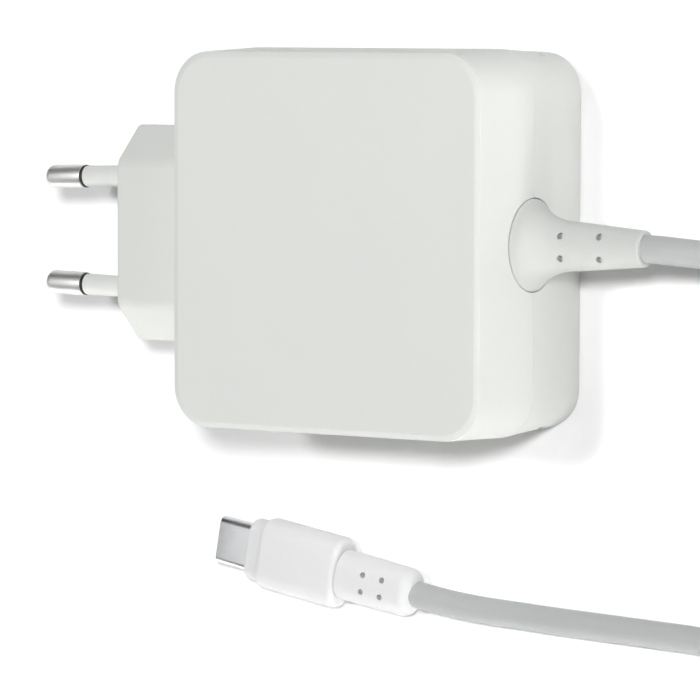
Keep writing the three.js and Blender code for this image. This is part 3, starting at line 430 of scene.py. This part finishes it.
def wall_levels():
    """(height, lean-in) of the side wall: flat face, band that falls away, crisp edge, drafted wall."""
    steps = 6
    levels = [(0.0, DRAFT + BAND_WIDTH + BAND_ROUNDING)]
    for i in range(steps + 1):
        angle = BAND_FALL * i / steps
        lean = DRAFT + BAND_WIDTH - BAND_ROUNDING * math.sin(angle)
        levels.append((BAND_ROUNDING * (1 - math.cos(angle)), lean))
    straight = BAND_WIDTH - BAND_ROUNDING * math.sin(BAND_FALL)
    drop = levels[-1][0] + straight * math.tan(BAND_FALL)
    middle = drop + CRISP_EDGE * (1 / math.cos(BAND_FALL) - math.tan(BAND_FALL))
    for i in range(steps + 1):
        angle = BAND_FALL + (math.pi / 2 - BAND_FALL) * i / steps
        levels.append((middle - CRISP_EDGE * math.cos(angle), DRAFT + CRISP_EDGE * (1 - math.sin(angle))))
    slope = DRAFT / (MIDDLE - middle)
    for z in (1.5, 5.0, 10.0, MIDDLE - 0.8):
        levels.append((z, (MIDDLE - z) * slope))
    return levels


def level_ring(z, lean, inset=0.0):
    radius = max(CORNER - inset - lean / 2, 2)
    outline = rounded_rectangle(WIDTH / 2 - inset - lean, HEIGHT / 2 - inset - lean, radius, 20)
    return [(x, y, z) for x, y in outline]


def shell_rings():
    """Closed skin of the rear shell: floor inside, up the inner wall, over the rim, down outside."""
    inner = [(WALL + z * (MIDDLE - WALL) / MIDDLE, lean) for z, lean in wall_levels()[:-1]]
    rings = [level_ring(z, lean, WALL) for z, lean in inner]
    rim = MIDDLE - SEAM
    rings.append(level_ring(rim, 0.0, WALL))
    rings.append(level_ring(rim, 0.0, SEAM_EDGE + 0.2))
    rings.append(level_ring(rim, 0.0, SEAM_EDGE))
    rings.append(level_ring(rim - SEAM_EDGE * 0.3, 0.0, SEAM_EDGE * 0.3))
    rings.append(level_ring(rim - SEAM_EDGE, 0.01))
    rings += [level_ring(z, lean) for z, lean in reversed(wall_levels())]
    return rings


def pocket(side):
    """Solid walls round a hook's recess, kept inside the outer skin."""
    left, floor = RECESS_LEFT - POCKET_WALL, RECESS_FLOOR - POCKET_WALL
    right, top = HOOK_PIN_X + HOOK_SWING + POCKET_WALL, HEIGHT / 2 - 1.5
    beside_corner = [(right, top - 2.1), (right - 2.7, top - 0.3)]
    outline = [(left, floor), (right, floor), *beside_corner, (left, top)]
    return prism([(x, side * y) for x, y in outline], WALL / 2, MIDDLE - SEAM - 0.02)


def round_hinge(radius, start, end, steps):
    """Arc of (x, y) points round a hook's hinge pin, from one angle in degrees to another."""
    points = []
    for i in range(steps + 1):
        angle = math.radians(start + (end - start) * i / steps)
        points.append((HOOK_PIN_X + radius * math.cos(angle), HOOK_PIN_Y + radius * math.sin(angle)))
    return points


def recess(side):
    """Tools that cut the space a hook lies and swings in."""
    low, high = HOOK_LOW - FIT, HOOK_HIGH + FIT
    beyond = HEIGHT / 2 + 3
    outline = [(RECESS_LEFT, beyond), (RECESS_LEFT, RECESS_FLOOR)]
    outline += round_hinge(HOOK_SWING, -90, 0, 24)
    outline.append((HOOK_PIN_X + HOOK_SWING, beyond))
    return prism([(x, side * y) for x, y in outline], low, high)


def wall_openings():
    """Tools for the plug's window and the strain relief's round hole."""
    wall = WIDTH / 2
    window = loft([plug_section(x, PLUG_WINDOW_GAP) for x in (-wall - 1, -wall + WALL + 1)])
    inside, outside = wall - WALL - 1.3, wall + 2
    profile = [(inside, 0), (inside, RELIEF_OPENING), (outside, RELIEF_OPENING), (outside, 0)]
    hole, hole_faces = revolve(profile, 96)
    return [window, (placed(hole, Matrix.Translation((0, 0, MIDDLE))), hole_faces)]


def build_shells():
    vertices, faces = loft(shell_rings())
    rear = make("rear_shell_skin", vertices, faces)
    boolean(rear, "UNION", pocket(1), pocket(-1))
    bores = [rod_z(HOOK_PIN_X, side * HOOK_PIN_Y, 0.8, MIDDLE + 1, SHELL_BORE) for side in (1, -1)]
    boolean(rear, "DIFFERENCE", recess(1), recess(-1), *wall_openings(), *bores)
    finish_piece(rear, WHITE, "adapter", "white_plastic", "rear_shell")
    flipped = [(x, y, DEPTH - z) for x, y, z in vertices]
    front = make("front_shell_skin", flipped, faces)
    boolean(front, "DIFFERENCE", *wall_openings())
    finish_piece(front, WHITE, "adapter", "white_plastic", "front_shell")


def outer_form(inset):
    """Closed outer form of the rear half, used to trim a hook flush with its side wall."""
    rings = [level_ring(z, lean, inset) for z, lean in wall_levels()]
    rings.append(level_ring(MIDDLE, 0.0, inset))
    return loft(rings)


def build_hook(label, side):
    """Folded hook: plate with a rolled root round its hinge pin and a lip at its tip."""
    tip, inner = HOOK_PIN_X - HOOK_LENGTH, HOOK_PIN_Y - 0.4
    beyond = HEIGHT / 2 + 2
    lip = [(tip, inner - 0.7), (tip + 0.3, inner - 1.0), (tip + 1.5, inner - 1.0), (tip + 2.7, inner)]
    outline = [(tip, beyond), *lip, (HOOK_PIN_X - 1.75, inner)]
    outline += round_hinge(HOOK_KNUCKLE, 192, 402, 32)
    outline.append((HOOK_PIN_X + 0.6, HOOK_PIN_Y + 2.1))
    outline.append((HOOK_PIN_X - 0.2, beyond))
    vertices, faces = prism([(x, side * y) for x, y in outline], HOOK_LOW, HOOK_HIGH)
    hook = make(f"cord_hook_{label}_skin", vertices, faces)
    boolean(hook, "INTERSECT", outer_form(0.06))
    boolean(hook, "DIFFERENCE", rod_z(HOOK_PIN_X, side * HOOK_PIN_Y, 1, MIDDLE, HOOK_BORE))
    soften(hook, 0.18, 55)
    finish_piece(hook, WHITE, f"{label}_hook", "white_plastic", f"cord_hook_{label}")


# ---- plug -------------------------------------------------------------------------------


def pin_place(side):
    turn = Matrix.Rotation(side * PIN_TILT, 4, "Z")
    return Matrix.Translation((PLUG_FACE_X, side * PIN_SPACING / 2, MIDDLE)) @ turn


def arc(x, radius, size, quarter, steps=6):
    """Quarter circle of (x, radius) points: 0 turns in towards +X, 1 starts from -X."""
    points = []
    for i in range(steps + 1):
        angle = i / steps * math.pi / 2
        if quarter == 0:
            points.append((x - size + size * math.sin(angle), radius - size + size * math.cos(angle)))
        else:
            points.append((x + size - size * math.cos(angle), radius - size + size * math.sin(angle)))
    return points


def turned_on_pin(name, side, profile, closed=False):
    """Profile turned round the axis of one of the pins."""
    vertices, faces = revolve(profile, 64, closed)
    return make(name, placed(vertices, pin_place(side)), faces, 40)


def build_pin(label, side):
    """Rounded tip and bare metal, then a thinner core that runs back into the housing."""
    tip = -PIN_LENGTH
    profile = [(tip, 0), (tip, PIN_TIP["flat"])]
    profile += arc(tip, PIN_RADIUS, PIN_TIP["rounding"], 1, 8)[1:]
    profile += arc(PIN_SHOULDER, PIN_RADIUS, PIN_EDGE, 0, 3)
    profile += [(PIN_SHOULDER, CORE_RADIUS), (PIN_TAIL, CORE_RADIUS), (PIN_TAIL, 0)]
    pin = turned_on_pin(f"pin_{label}_turned", side, profile)
    finish_piece(pin, NICKEL, "adapter", "nickel", f"pin_{label}")


def build_collar(label, side):
    """Black ring between the bare metal and the sleeve."""
    first, last = PIN_SHOULDER + COLLAR_FROM, PIN_SHOULDER + COLLAR_TO
    profile = [(first, SLEEVE_BORE), (first, SLEEVE_RADIUS)]
    profile += arc(first, COLLAR_RADIUS, COLLAR_EDGE, 1, 3)
    profile += arc(last, COLLAR_RADIUS, COLLAR_EDGE, 0, 3) + [(last, SLEEVE_BORE)]
    collar = turned_on_pin(f"pin_collar_{label}_turned", side, profile, closed=True)
    finish_piece(collar, BLACK, "adapter", "black_plastic", f"pin_collar_{label}")


def build_sleeve(label, side):
    """White insulation, a little thicker where it enters the plug block."""
    start, root = PIN_SHOULDER + SLEEVE_FROM, SLEEVE_RADIUS + 0.02
    profile = [(start, SLEEVE_BORE)] + arc(start, SLEEVE_RADIUS, SLEEVE_EDGE, 1, 4)
    profile += [(-0.4, SLEEVE_RADIUS), (0.5, root), (SLEEVE_DEPTH, root), (SLEEVE_DEPTH, SLEEVE_BORE)]
    sleeve = turned_on_pin(f"pin_sleeve_{label}_turned", side, profile, closed=True)
    finish_piece(sleeve, SLEEVE, "adapter", "white_sleeve", f"pin_sleeve_{label}")


def rounded_outline(corners, steps=8):
    """Outline through (x, y, radius) corners, anticlockwise, each rounded by its own radius."""
    points = []
    for i, (x, y, radius) in enumerate(corners):
        here = Vector((x, y))
        back = (Vector(corners[i - 1][:2]) - here).normalized()
        ahead = (Vector(corners[(i + 1) % len(corners)][:2]) - here).normalized()
        half = math.acos(back.dot(ahead)) / 2
        inward = (back + ahead).normalized()
        centre = here + inward * radius / math.sin(half)
        facing = math.atan2(-inward.y, -inward.x)
        for k in range(steps + 1):
            angle = facing + (math.pi - 2 * half) * (k / steps - 0.5)
            points.append((centre.x + radius * math.cos(angle), centre.y + radius * math.sin(angle)))
    return points


def plug_section(x, grow=0.0):
    """Ring round the plug's six-sided section, grown on all sides by an offset."""
    slope = math.atan2(PLUG_HALF_Z - PLUG_SIDE, PLUG_HALF - PLUG_FLAT)
    flat_y = PLUG_FLAT + grow * math.tan(slope / 2)
    side_z = PLUG_SIDE + grow * math.tan((math.pi / 2 - slope) / 2)
    top, side = PLUG_HALF_Z + grow, PLUG_HALF + grow
    corners = [(side, side_z, PLUG_ROUNDING["side"] + grow)]
    corners.append((flat_y, top, PLUG_ROUNDING["flat"] + grow))
    corners += [(-y, z, radius) for y, z, radius in reversed(corners)]
    corners += [(-y, -z, radius) for y, z, radius in corners]
    return [(x, y, MIDDLE + z) for y, z in rounded_outline(corners)]


def build_plug():
    """Six-sided plug block with rounded edges, its flange and the bores for the pins."""
    edge, steps = PLUG_ROUNDING["face"], 8
    rings = []
    for i in range(steps + 1):
        angle = i / steps * math.pi / 2
        x = PLUG_FACE_X + edge * (1 - math.cos(angle))
        rings.append(plug_section(x, -edge * (1 - math.sin(angle))))
    rings.append(plug_section(PLUG_FLANGE_X + 0.2))
    plug = make("plug_block_skin", *loft(rings))
    half_y = PLUG_HALF + PLUG_FLANGE["beyond_y"]
    half_z = PLUG_HALF_Z + PLUG_FLANGE["beyond_z"]
    back = PLUG_FLANGE_X + PLUG_FLANGE["thickness"]
    boolean(plug, "UNION", box(PLUG_FLANGE_X, back, -half_y, half_y, MIDDLE - half_z, MIDDLE + half_z))
    core_bore = (1, PIN_TAIL + 2.5, SLEEVE_BORE)
    sleeve_bore = (-1, SLEEVE_DEPTH + 0.2, SLEEVE_RADIUS + 0.15)
    bores = []
    for side in (1, -1):
        for x0, x1, radius in (core_bore, sleeve_bore):
            vertices, faces = revolve([(x0, 0), (x0, radius), (x1, radius), (x1, 0)], 64)
            bores.append((placed(vertices, pin_place(side)), faces))
    boolean(plug, "DIFFERENCE", *bores)
    finish_piece(plug, WHITE, "adapter", "white_plastic", "plug_block")


# ---- strain relief ----------------------------------------------------------------------


def relief_radius(x):
    if x >= RELIEF_WAIST_X:
        along = (x - RELIEF_WAIST_X) / (RELIEF_END_X - RELIEF_WAIST_X)
        return RELIEF_WAIST + (RELIEF_END - RELIEF_WAIST) * along
    back = (RELIEF_WAIST_X - x) / (RELIEF_WAIST_X - WIDTH / 2)
    return RELIEF_WAIST + (RELIEF_FLARE - RELIEF_WAIST) * back ** 2.4


def build_relief():
    wall, inside = WIDTH / 2, WIDTH / 2 - WALL - 0.7
    tail, back = inside - 3, inside - 1.7
    profile = [(tail, 0), (tail, RELIEF_TAIL), (back, RELIEF_TAIL), (back, RELIEF_FLANGE)]
    profile += [(inside, RELIEF_FLANGE), (inside, RELIEF_NECK), (wall - 0.25, RELIEF_NECK)]
    profile += arc(wall, RELIEF_NECK, 0.15, 0, 3)
    steps, end = 40, RELIEF_END_X + FIT + 0.1
    for i in range(steps + 1):
        x = wall + 0.05 + (end - 0.5 - wall) * i / steps
        profile.append((x, relief_radius(x)))
    profile += arc(end, RELIEF_END, 0.4, 0, 5) + [(end, 0)]
    vertices, faces = revolve(profile, 96)
    lift = Matrix.Translation((0, 0, MIDDLE))
    relief = make("strain_relief_skin", placed(vertices, lift), faces)
    boolean(relief, "DIFFERENCE", *relief_holes())
    finish_piece(relief, SOFT, "adapter", "white_soft", "strain_relief")


def relief_holes():
    """Short blind holes, four above and four below."""
    across, radius, depth = (RELIEF_HOLES[key] for key in ("across", "radius", "depth"))
    holes = []
    for x in RELIEF_HOLES["places"]:
        for y in (across, -across):
            rise = math.sqrt(relief_radius(x) ** 2 - y ** 2)
            holes.append(rod_z(x, y, MIDDLE + rise - depth, MIDDLE + rise + 2, radius, 24))
            holes.append(rod_z(x, y, MIDDLE - rise - 2, MIDDLE - rise + depth, radius, 24))
    return holes


# ---- cord -------------------------------------------------------------------------------


def coil_slots():
    """(column, row) of each turn in winding order: in along the floor, up, over and down, out."""
    across_floor = [(1, 0), (0, 0), (-1, 0)]
    up_inside = [(-1, 1), (-1, 2), (-1, 3)]
    down_middle = [(0, 3), (0, 2), (0, 1)]
    up_outside = [(1, 1), (1, 2)]
    return across_floor + up_inside + down_middle + up_outside


def slot_changes(slots):
    """Turn number at the middle of each change of slot, earlier after each change of direction."""
    changes, when = [], COIL_FIRST_CHANGE
    for i in range(len(slots) - 1):
        step = Vector(slots[i + 1]) - Vector(slots[i])
        before = Vector(slots[i]) - Vector(slots[i - 1]) if i else step
        if step != before:
            when -= COIL_CORNER_LEAD
        changes.append(when + i)
    return changes


def coil_place(turn, slots, changes):
    """Radius and height of the cord after so many turns. It lifts where the tie passes under it."""
    column, row = slots[0]
    for (c0, r0), (c1, r1), change in zip(slots, slots[1:], changes):
        part = eased((turn - change) / COIL_CHANGE + 0.5)
        column += (c1 - c0) * part
        row += (r1 - r0) * part
    lift = max(COIL_BASE * ((1 + math.cos(coil_angle(turn))) / 2) ** 4, FLOOR_GAP)
    radius, height = COIL_RADIUS + column * CORD, lift + CORD / 2 + row * CORD
    start = eased(1 - turn / COIL_ENTRY)
    radius += (COIL_SIDE - radius) * start
    height += (FLOOR_CORD - height) * start
    drape = eased((turn - COIL_TURNS + COIL_EXIT) / COIL_EXIT) * math.pi / 2
    top, outside = height, COIL_SIDE - radius
    if drape > 0:
        radius += outside * math.sin(drape)
        height = FLOOR_CORD + (top - FLOOR_CORD) * math.cos(drape)
    return radius, height


def eased(part):
    part = min(max(part, 0.0), 1.0)
    return part - math.sin(2 * math.pi * part) / (2 * math.pi)


def coil_angle(turn):
    """Clockwise from the coil's +Y side."""
    return math.pi / 2 - 2 * math.pi * turn


def coil_route():
    """Centreline of the coil, from the floor beside it at +Y to the floor beside it at -Y."""
    slots = coil_slots()
    changes = slot_changes(slots)
    route = []
    for i in range(1, int(COIL_TURNS * COIL_POINTS)):
        turn = i / COIL_POINTS
        radius, height = coil_place(turn, slots, changes)
        angle = coil_angle(turn)
        route.append((COIL_X + radius * math.cos(angle), COIL_Y + radius * math.sin(angle), height))
    return route


def cord_route():
    """Points from the strain relief to the floor, through the coil and on to the USB-C plug."""
    from_adapter = [
        (50.5, 0, 16), (53.0, -0.1, 15.9), (56.5, -0.4, 15.4), (60.5, -0.8, 14.2), (64.5, -1.2, 12.4),
        (69.0, -1.6, 10.0), (73.5, -2.0, 7.6), (78.0, -2.15, 5.6), (82.5, -2.2, 4.0), (86.5, -2.2, 3.2),
        (90.5, -2.1, 2.75), (94.5, -2.05, 2.45), (98, -2.0, FLOOR_CORD),
    ]
    along_floor = [
        (98, -70.4), (91, -70.2), (84, -69.4), (77, -67.9), (70, -66.2), (62, -64.8),
        (54, -63.8), (45, -63.3), (36, -62.9), (27, -62.5), (18, -62.0),
    ]
    to_plug = [(12.7, -61.65, 2.6), (7.01, -61.0, 3.0), (3.1, -60.35, 3.4), (-0.87, -59.64, 3.5)]
    return from_adapter + coil_route() + [(x, y, FLOOR_CORD) for x, y in along_floor] + to_plug


def build_cord():
    """The whole 1.8 m cord as one round curve."""
    points = cord_route()
    data = bpy.data.curves.new("cord", "CURVE")
    data.dimensions = "3D"
    data.resolution_u = 5
    data.bevel_depth = CORD / 2 * MM
    data.bevel_resolution = 7
    data.use_fill_caps = True
    spline = data.splines.new("BEZIER")
    spline.bezier_points.add(len(points) - 1)
    for bezier, point in zip(spline.bezier_points, points):
        bezier.co = Vector(point) * MM
        bezier.handle_left_type = bezier.handle_right_type = "AUTO"
    cord = bpy.data.objects.new("cord", data)
    bpy.context.scene.collection.objects.link(cord)
    data.materials.append(JACKET)
    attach(cord, "adapter")
    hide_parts("cord_adapter_end", "cord_coil", "cord_usb_end")
    return cord


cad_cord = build_cord()


def build_tie():
    """Soft strap in a closed loop round the turns at the coil's +X side."""
    width, thickness, corner, edge = 8.0, 0.95, 1.6, 0.25
    inner_near, inner_far = COIL_RADIUS - 1.5 * CORD - 0.5, COIL_RADIUS + 1.5 * CORD + 0.1
    low, high = COIL_BASE - 0.1, COIL_BASE + COIL_ROWS * CORD + 0.1
    half_x, half_z = (inner_far - inner_near) / 2, (high - low) / 2
    middle = Vector((COIL_X + (inner_near + inner_far) / 2, COIL_Y, (low + high) / 2))
    inside = rounded_rectangle(half_x, half_z, corner, 10)
    outside = rounded_rectangle(half_x + thickness, half_z + thickness, corner + thickness, 10)
    vertices = []
    for outline, y in ((inside, -1), (inside, 1), (outside, 1), (outside, -1)):
        vertices += [(middle.x + x, middle.y + y * (width / 2), middle.z + z) for x, z in outline]
    size = len(inside)
    faces = []
    for ring in range(4):
        here, beyond = ring * size, (ring + 1) % 4 * size
        for i in range(size):
            j = (i + 1) % size
            faces.append((here + i, here + j, beyond + j, beyond + i))
    tie = make("coil_tie_strap", vertices, faces)
    soften(tie, edge, 60)
    return finish_piece(tie, STRAP, "adapter", "tie_strap", "coil_tie")


# ---- USB-C plug -------------------------------------------------------------------------

USB_PLACE = Matrix.Translation((USB_X, USB_Y, USB_Z)) @ Matrix.Rotation(USB_TURN, 4, "Z")


def skin_along_x(sections, steps=12):
    """Skin across the plug's axis from (x, half width, half height, corner share) sections."""
    rings = []
    for x, half_y, half_z, share in sections:
        outline = rounded_rectangle(half_y, half_z, half_z * share, steps)
        rings.append([(x, y, z) for y, z in outline])
    vertices, faces = loft(rings)
    return placed(vertices, USB_PLACE), faces


def rounded_step(x0, x1, small, large, steps=5):
    """Sections that swell from one half size to another in a rounded shoulder."""
    sections = []
    for i in range(steps + 1):
        angle = i / steps * math.pi / 2
        part = math.sin(angle)
        x = x0 + (x1 - x0) * (1 - math.cos(angle))
        half_y = small[0] + (large[0] - small[0]) * part
        half_z = small[1] + (large[1] - small[1]) * part
        sections.append((x, half_y, half_z, BLUNT))
    return sections


def build_overmould():
    """Grip with a stepped nose, a groove between them and a socket for the metal shell."""
    front, groove, grip, end = USB_NOSE["start"], USB_NOSE["end"], USB_GRIP["start"], USB_GRIP["end"]
    sections = [(front, 4.3, 1.9, BLUNT)]
    sections += rounded_step(front, front + 0.55, (4.75, 2.1), USB_NOSE["half"])
    sections += [(groove, 5.32, 2.67, BLUNT), (groove + 0.15, 5.4, 2.75, BLUNT)]
    sections += rounded_step(grip, grip + 1.2, (5.5, 2.85), USB_GRIP["half"], 7)
    sections += rounded_step(end, end - 1.4, (5.0, 2.7), USB_GRIP["half"], 7)[::-1]
    overmould = make("usb_overmould_skin", *skin_along_x(sections))
    half_y, half_z = (half + 0.1 for half in USB_SHELL["half"])
    socket_end = USB_SHELL["length"] + 0.2
    socket = skin_along_x([(5, half_y, half_z, OVAL), (socket_end, half_y, half_z, OVAL)])
    boolean(overmould, "DIFFERENCE", socket)
    return finish_piece(overmould, USB_SOFT, "adapter", "white_soft", "usb_overmould")


def build_usb_relief():
    """Oval sleeve on the cord with a domed free end and short blind holes."""
    root, steps = USB_GRIP["end"] + 0.09, 10
    half_y, half_z = USB_RELIEF["tip"]
    sections = [(root, 3.2, 2.4, OVAL), (root + 0.05, *USB_RELIEF["root"], OVAL)]
    for i in range(steps + 1):
        angle = i / steps * math.pi / 2
        shrink = USB_RELIEF["rounding"] * (1 - math.cos(angle))
        x = USB_RELIEF["end"] - USB_RELIEF["rounding"] * (1 - math.sin(angle))
        sections.append((x, half_y - shrink, half_z - shrink, OVAL))
    relief = make("usb_strain_relief_skin", *skin_along_x(sections))
    boolean(relief, "DIFFERENCE", *usb_relief_holes())
    return finish_piece(relief, USB_SOFT, "adapter", "white_soft", "usb_strain_relief")


def usb_relief_holes():
    across, radius, depth_from = (USB_HOLES[key] for key in ("across", "radius", "depth_from"))
    holes = []
    for place in USB_HOLES["places"]:
        for y in (across, -across):
            for z0, z1 in ((depth_from, 5), (-5, -depth_from)):
                vertices, faces = rod_z(USB_GRIP["end"] + FIT + place, y, z0, z1, radius, 24)
                holes.append((placed(vertices, USB_PLACE), faces))
    return holes


def build_usb_shell():
    """Drawn metal shell, open at both ends, with a rounded lip at its mouth."""
    half_y, half_z = USB_SHELL["half"]
    rounded_lip = ((0.0, 0.08), (0.04, 0.03), (0.12, 0.0))
    sections = [(x, half_y - inset, half_z - inset, OVAL) for x, inset in rounded_lip]
    sections.append((USB_SHELL["length"], half_y, half_z, OVAL))
    shell = make("usb_shell_skin", *skin_along_x(sections, 16))
    bore_y, bore_z = half_y - USB_SHELL["wall"], half_z - USB_SHELL["wall"]
    bore = skin_along_x([(x, bore_y, bore_z, OVAL) for x in (-1, USB_SHELL["length"] + 1)], 16)
    boolean(shell, "DIFFERENCE", bore)
    return finish_piece(shell, STEEL, "adapter", "steel", "usb_shell")


usb_pieces = [build_overmould(), build_usb_relief(), build_usb_shell()]
tie = build_tie()

build_shells()
build_hook("upper", 1)
build_hook("lower", -1)
build_plug()
for label, side in (("upper", 1), ("lower", -1)):
    build_pin(label, side)
    build_collar(label, side)
    build_sleeve(label, side)
build_relief()

# ---- pieces that stay as the CAD made them ----------------------------------------------


def circuit_material():
    """Solder mask over copper: fine tracks showing through green lacquer."""
    nodes = Nodes("board")
    cells = nodes.add("ShaderNodeTexVoronoi", {"Vector": nodes.place, "Scale": 1 / (2.2 * MM)},
                      distance="MANHATTAN", feature="F1").outputs["Distance"]
    tracks = nodes.ramp(cells, 0, 1, 0.35, 0.40)
    nodes.set(Base_Color=nodes.mix(tracks, (0.020, 0.13, 0.055), (0.035, 0.22, 0.09)))
    nodes.set(Roughness=nodes.ramp(nodes.noise(0.8), 0.25, 0.4), Coat_Weight=0.4)
    nodes.bump(tracks, 0.03)
    return nodes.material


def wound_material():
    """Enamelled copper wire laid side by side."""
    nodes = Nodes("copper_wire")
    wave = {"Vector": nodes.place, "Scale": 1 / (1.6 * MM), "Distortion": 0.6}
    wires = nodes.add("ShaderNodeTexWave", wave, bands_direction="DIAGONAL").outputs["Fac"]
    nodes.set(Base_Color=nodes.mix(wires, (0.30, 0.10, 0.03), (0.62, 0.27, 0.10)))
    nodes.set(Metallic=0.8, Roughness=0.3, Coat_Weight=0.5)
    nodes.bump(wires, 0.15)
    return nodes.material


def glossy(name, colour, shade_colour):
    """Shrunk plastic sleeve of a capacitor."""
    return painted(name, colour, shade_colour, 0.25, 1.5, 0.01, 0.5)


INSIDE = {
    "board": circuit_material(),
    "copper_wire": wound_material(),
    "steel": STEEL,
    "black_plastic": BLACK,
    "contact_gold": GOLD,
    "fuse_body": painted("fuse_body", (0.74, 0.70, 0.60), (0.66, 0.62, 0.52), 0.4),
    "capacitor_box": painted("capacitor_box", (0.78, 0.58, 0.12), (0.70, 0.50, 0.09), 0.4),
    "chip": painted("chip", (0.022, 0.022, 0.024), (0.035, 0.035, 0.036), 0.55, 0.3, 0.008),
    "capacitor_sleeve": glossy("capacitor_sleeve", (0.02, 0.02, 0.024), (0.03, 0.03, 0.035)),
    "capacitor_can": glossy("capacitor_can", (0.05, 0.24, 0.12), (0.04, 0.19, 0.10)),
    "aluminium": metal("aluminium", (0.76, 0.77, 0.78), (0.68, 0.69, 0.70), 0.36, (0.1, 1, 1), 0.5),
    "ferrite": painted("ferrite", (0.035, 0.035, 0.038), (0.06, 0.06, 0.064), 0.6, 0.4, 0.02),
    "winding_tape": painted("winding_tape", (0.80, 0.56, 0.10), (0.72, 0.48, 0.07), 0.3, 2.0, 0.02, 0.4),
    "blue_epoxy": painted("blue_epoxy", (0.02, 0.12, 0.42), (0.015, 0.09, 0.34), 0.25, 1.2, 0.04, 0.6),
    "insulating_paper": painted("insulating_paper", (0.80, 0.75, 0.60), (0.72, 0.67, 0.52), 0.8, 0.5, 0.01),
    "wire_brown": painted("wire_brown", (0.16, 0.06, 0.025), (0.12, 0.045, 0.02), 0.45),
    "wire_blue": painted("wire_blue", (0.02, 0.12, 0.42), (0.016, 0.10, 0.36), 0.45),
    "wire_red": painted("wire_red", (0.46, 0.025, 0.02), (0.38, 0.02, 0.016), 0.45),
    "wire_black": painted("wire_black", (0.018, 0.018, 0.018), (0.03, 0.03, 0.03), 0.45),
}


def dress_cad_nodes():
    slots = {s["node"]: s["material_slot"] for s in frame["record"]["subparts"]}
    for name, node in frame["nodes"].items():
        if node.hide_render:
            continue
        node.data.materials.clear()
        node.data.materials.append(INSIDE[slots[name]])
        shade(node.data)


dress_cad_nodes()

# ---- floor and light --------------------------------------------------------------------

SKY_OVERHEAD = 0.02
SKY_RISE = 5.0  # mean brightness that the horizon adds
SKY_POWER = 8.0  # how fast that falls with height
SKY_SLOPE = (4.2, -8.5, 0.0)  # more of it towards +X and -Y
SKY_DARKEST = 0.05
SKY_COLOUR = (0.995, 1.0, 0.985, 1.0)
SOFTBOX_TOWARDS = Vector((-0.55, -0.06, 0.83))
SOFTBOX_EDGE = (0.86, 0.97)  # cosines of its outer and inner edge
SOFTBOX_LEVEL = 1.0
LAMP_DISTANCE = 1.3
LAMP_SIZE = 0.16
LAMPS = {  # direction, and brightness that it gives a white floor
    "lamp_by_camera": (Vector((0.53, 0.20, 1.0)), 0.56),
    "lamp_overhead": (Vector((-0.13, 0.18, 1.0)), 0.32),
}


def build_floor():
    mesh = bpy.data.meshes.new("floor")
    half = 3.0
    corners = [(x * half, y * half, 0) for x, y in ((-1, -1), (1, -1), (1, 1), (-1, 1))]
    mesh.from_pydata(corners, [], [(0, 1, 2, 3)])
    floor = bpy.data.objects.new("floor", mesh)
    bpy.context.scene.collection.objects.link(floor)
    nodes = Nodes("floor")
    cloud = nodes.ramp(nodes.noise(40.0), 0, 1)
    nodes.set(Base_Color=nodes.mix(cloud, (0.93, 0.93, 0.935), (0.95, 0.95, 0.95)))
    nodes.set(Roughness=0.9, Specular_IOR_Level=0.1)
    mesh.materials.append(nodes.material)


def build_lamp(name, towards, level):
    """Round lamp that faces the origin."""
    facing = towards.normalized()
    data = bpy.data.lights.new(name, "AREA")
    data.shape = "DISK"
    data.size = LAMP_SIZE
    data.energy = level / facing.z * (math.pi * LAMP_DISTANCE) ** 2
    lamp = bpy.data.objects.new(name, data)
    bpy.context.scene.collection.objects.link(lamp)
    lamp.location = facing * LAMP_DISTANCE
    lamp.rotation_euler = (-facing).to_track_quat("-Z", "Y").to_euler()


def build_sky():
    """Studio surround: dark but for a softbox overhead and a glow low down towards +X and -Y."""
    world = bpy.data.worlds.new("studio")
    bpy.context.scene.world = world
    world.use_nodes = True
    tree = world.node_tree
    direction = tree.nodes.new("ShaderNodeTexCoord").outputs["Generated"]
    height = tree.nodes.new("ShaderNodeSeparateXYZ")
    tree.links.new(direction, height.inputs[0])
    near_horizon = maths(tree, "POWER", maths(tree, "SUBTRACT", 1.0, height.outputs["Z"]), SKY_POWER)
    slope = maths(tree, "ADD", along(tree, direction, SKY_SLOPE), SKY_RISE)
    glow = maths(tree, "MULTIPLY", near_horizon, slope)
    level = maths(tree, "MAXIMUM", maths(tree, "ADD", glow, SKY_OVERHEAD), SKY_DARKEST)
    softbox = tree.nodes.new("ShaderNodeMapRange")
    softbox.interpolation_type = "SMOOTHSTEP"
    softbox.inputs["From Min"].default_value = SOFTBOX_EDGE[0]
    softbox.inputs["From Max"].default_value = SOFTBOX_EDGE[1]
    softbox.inputs["To Max"].default_value = SOFTBOX_LEVEL
    tree.links.new(along(tree, direction, SOFTBOX_TOWARDS.normalized()), softbox.inputs["Value"])
    level = maths(tree, "ADD", level, softbox.outputs["Result"])
    background = tree.nodes["Background"]
    background.inputs["Color"].default_value = SKY_COLOUR
    tree.links.new(level, background.inputs["Strength"])


def maths(tree, operation, first, second):
    node = tree.nodes.new("ShaderNodeMath")
    node.operation = operation
    connect(tree, first, node.inputs[0])
    connect(tree, second, node.inputs[1])
    return node.outputs[0]


def along(tree, direction, vector):
    """Dot product of a direction with a fixed vector."""
    node = tree.nodes.new("ShaderNodeVectorMath")
    node.operation = "DOT_PRODUCT"
    node.inputs[1].default_value = vector
    tree.links.new(direction, node.inputs[0])
    return node.outputs["Value"]


def build_light():
    bpy.context.scene.view_settings.view_transform = "Standard"
    build_sky()
    for name, (towards, level) in LAMPS.items():
        build_lamp(name, towards, level)


build_floor()
build_light()
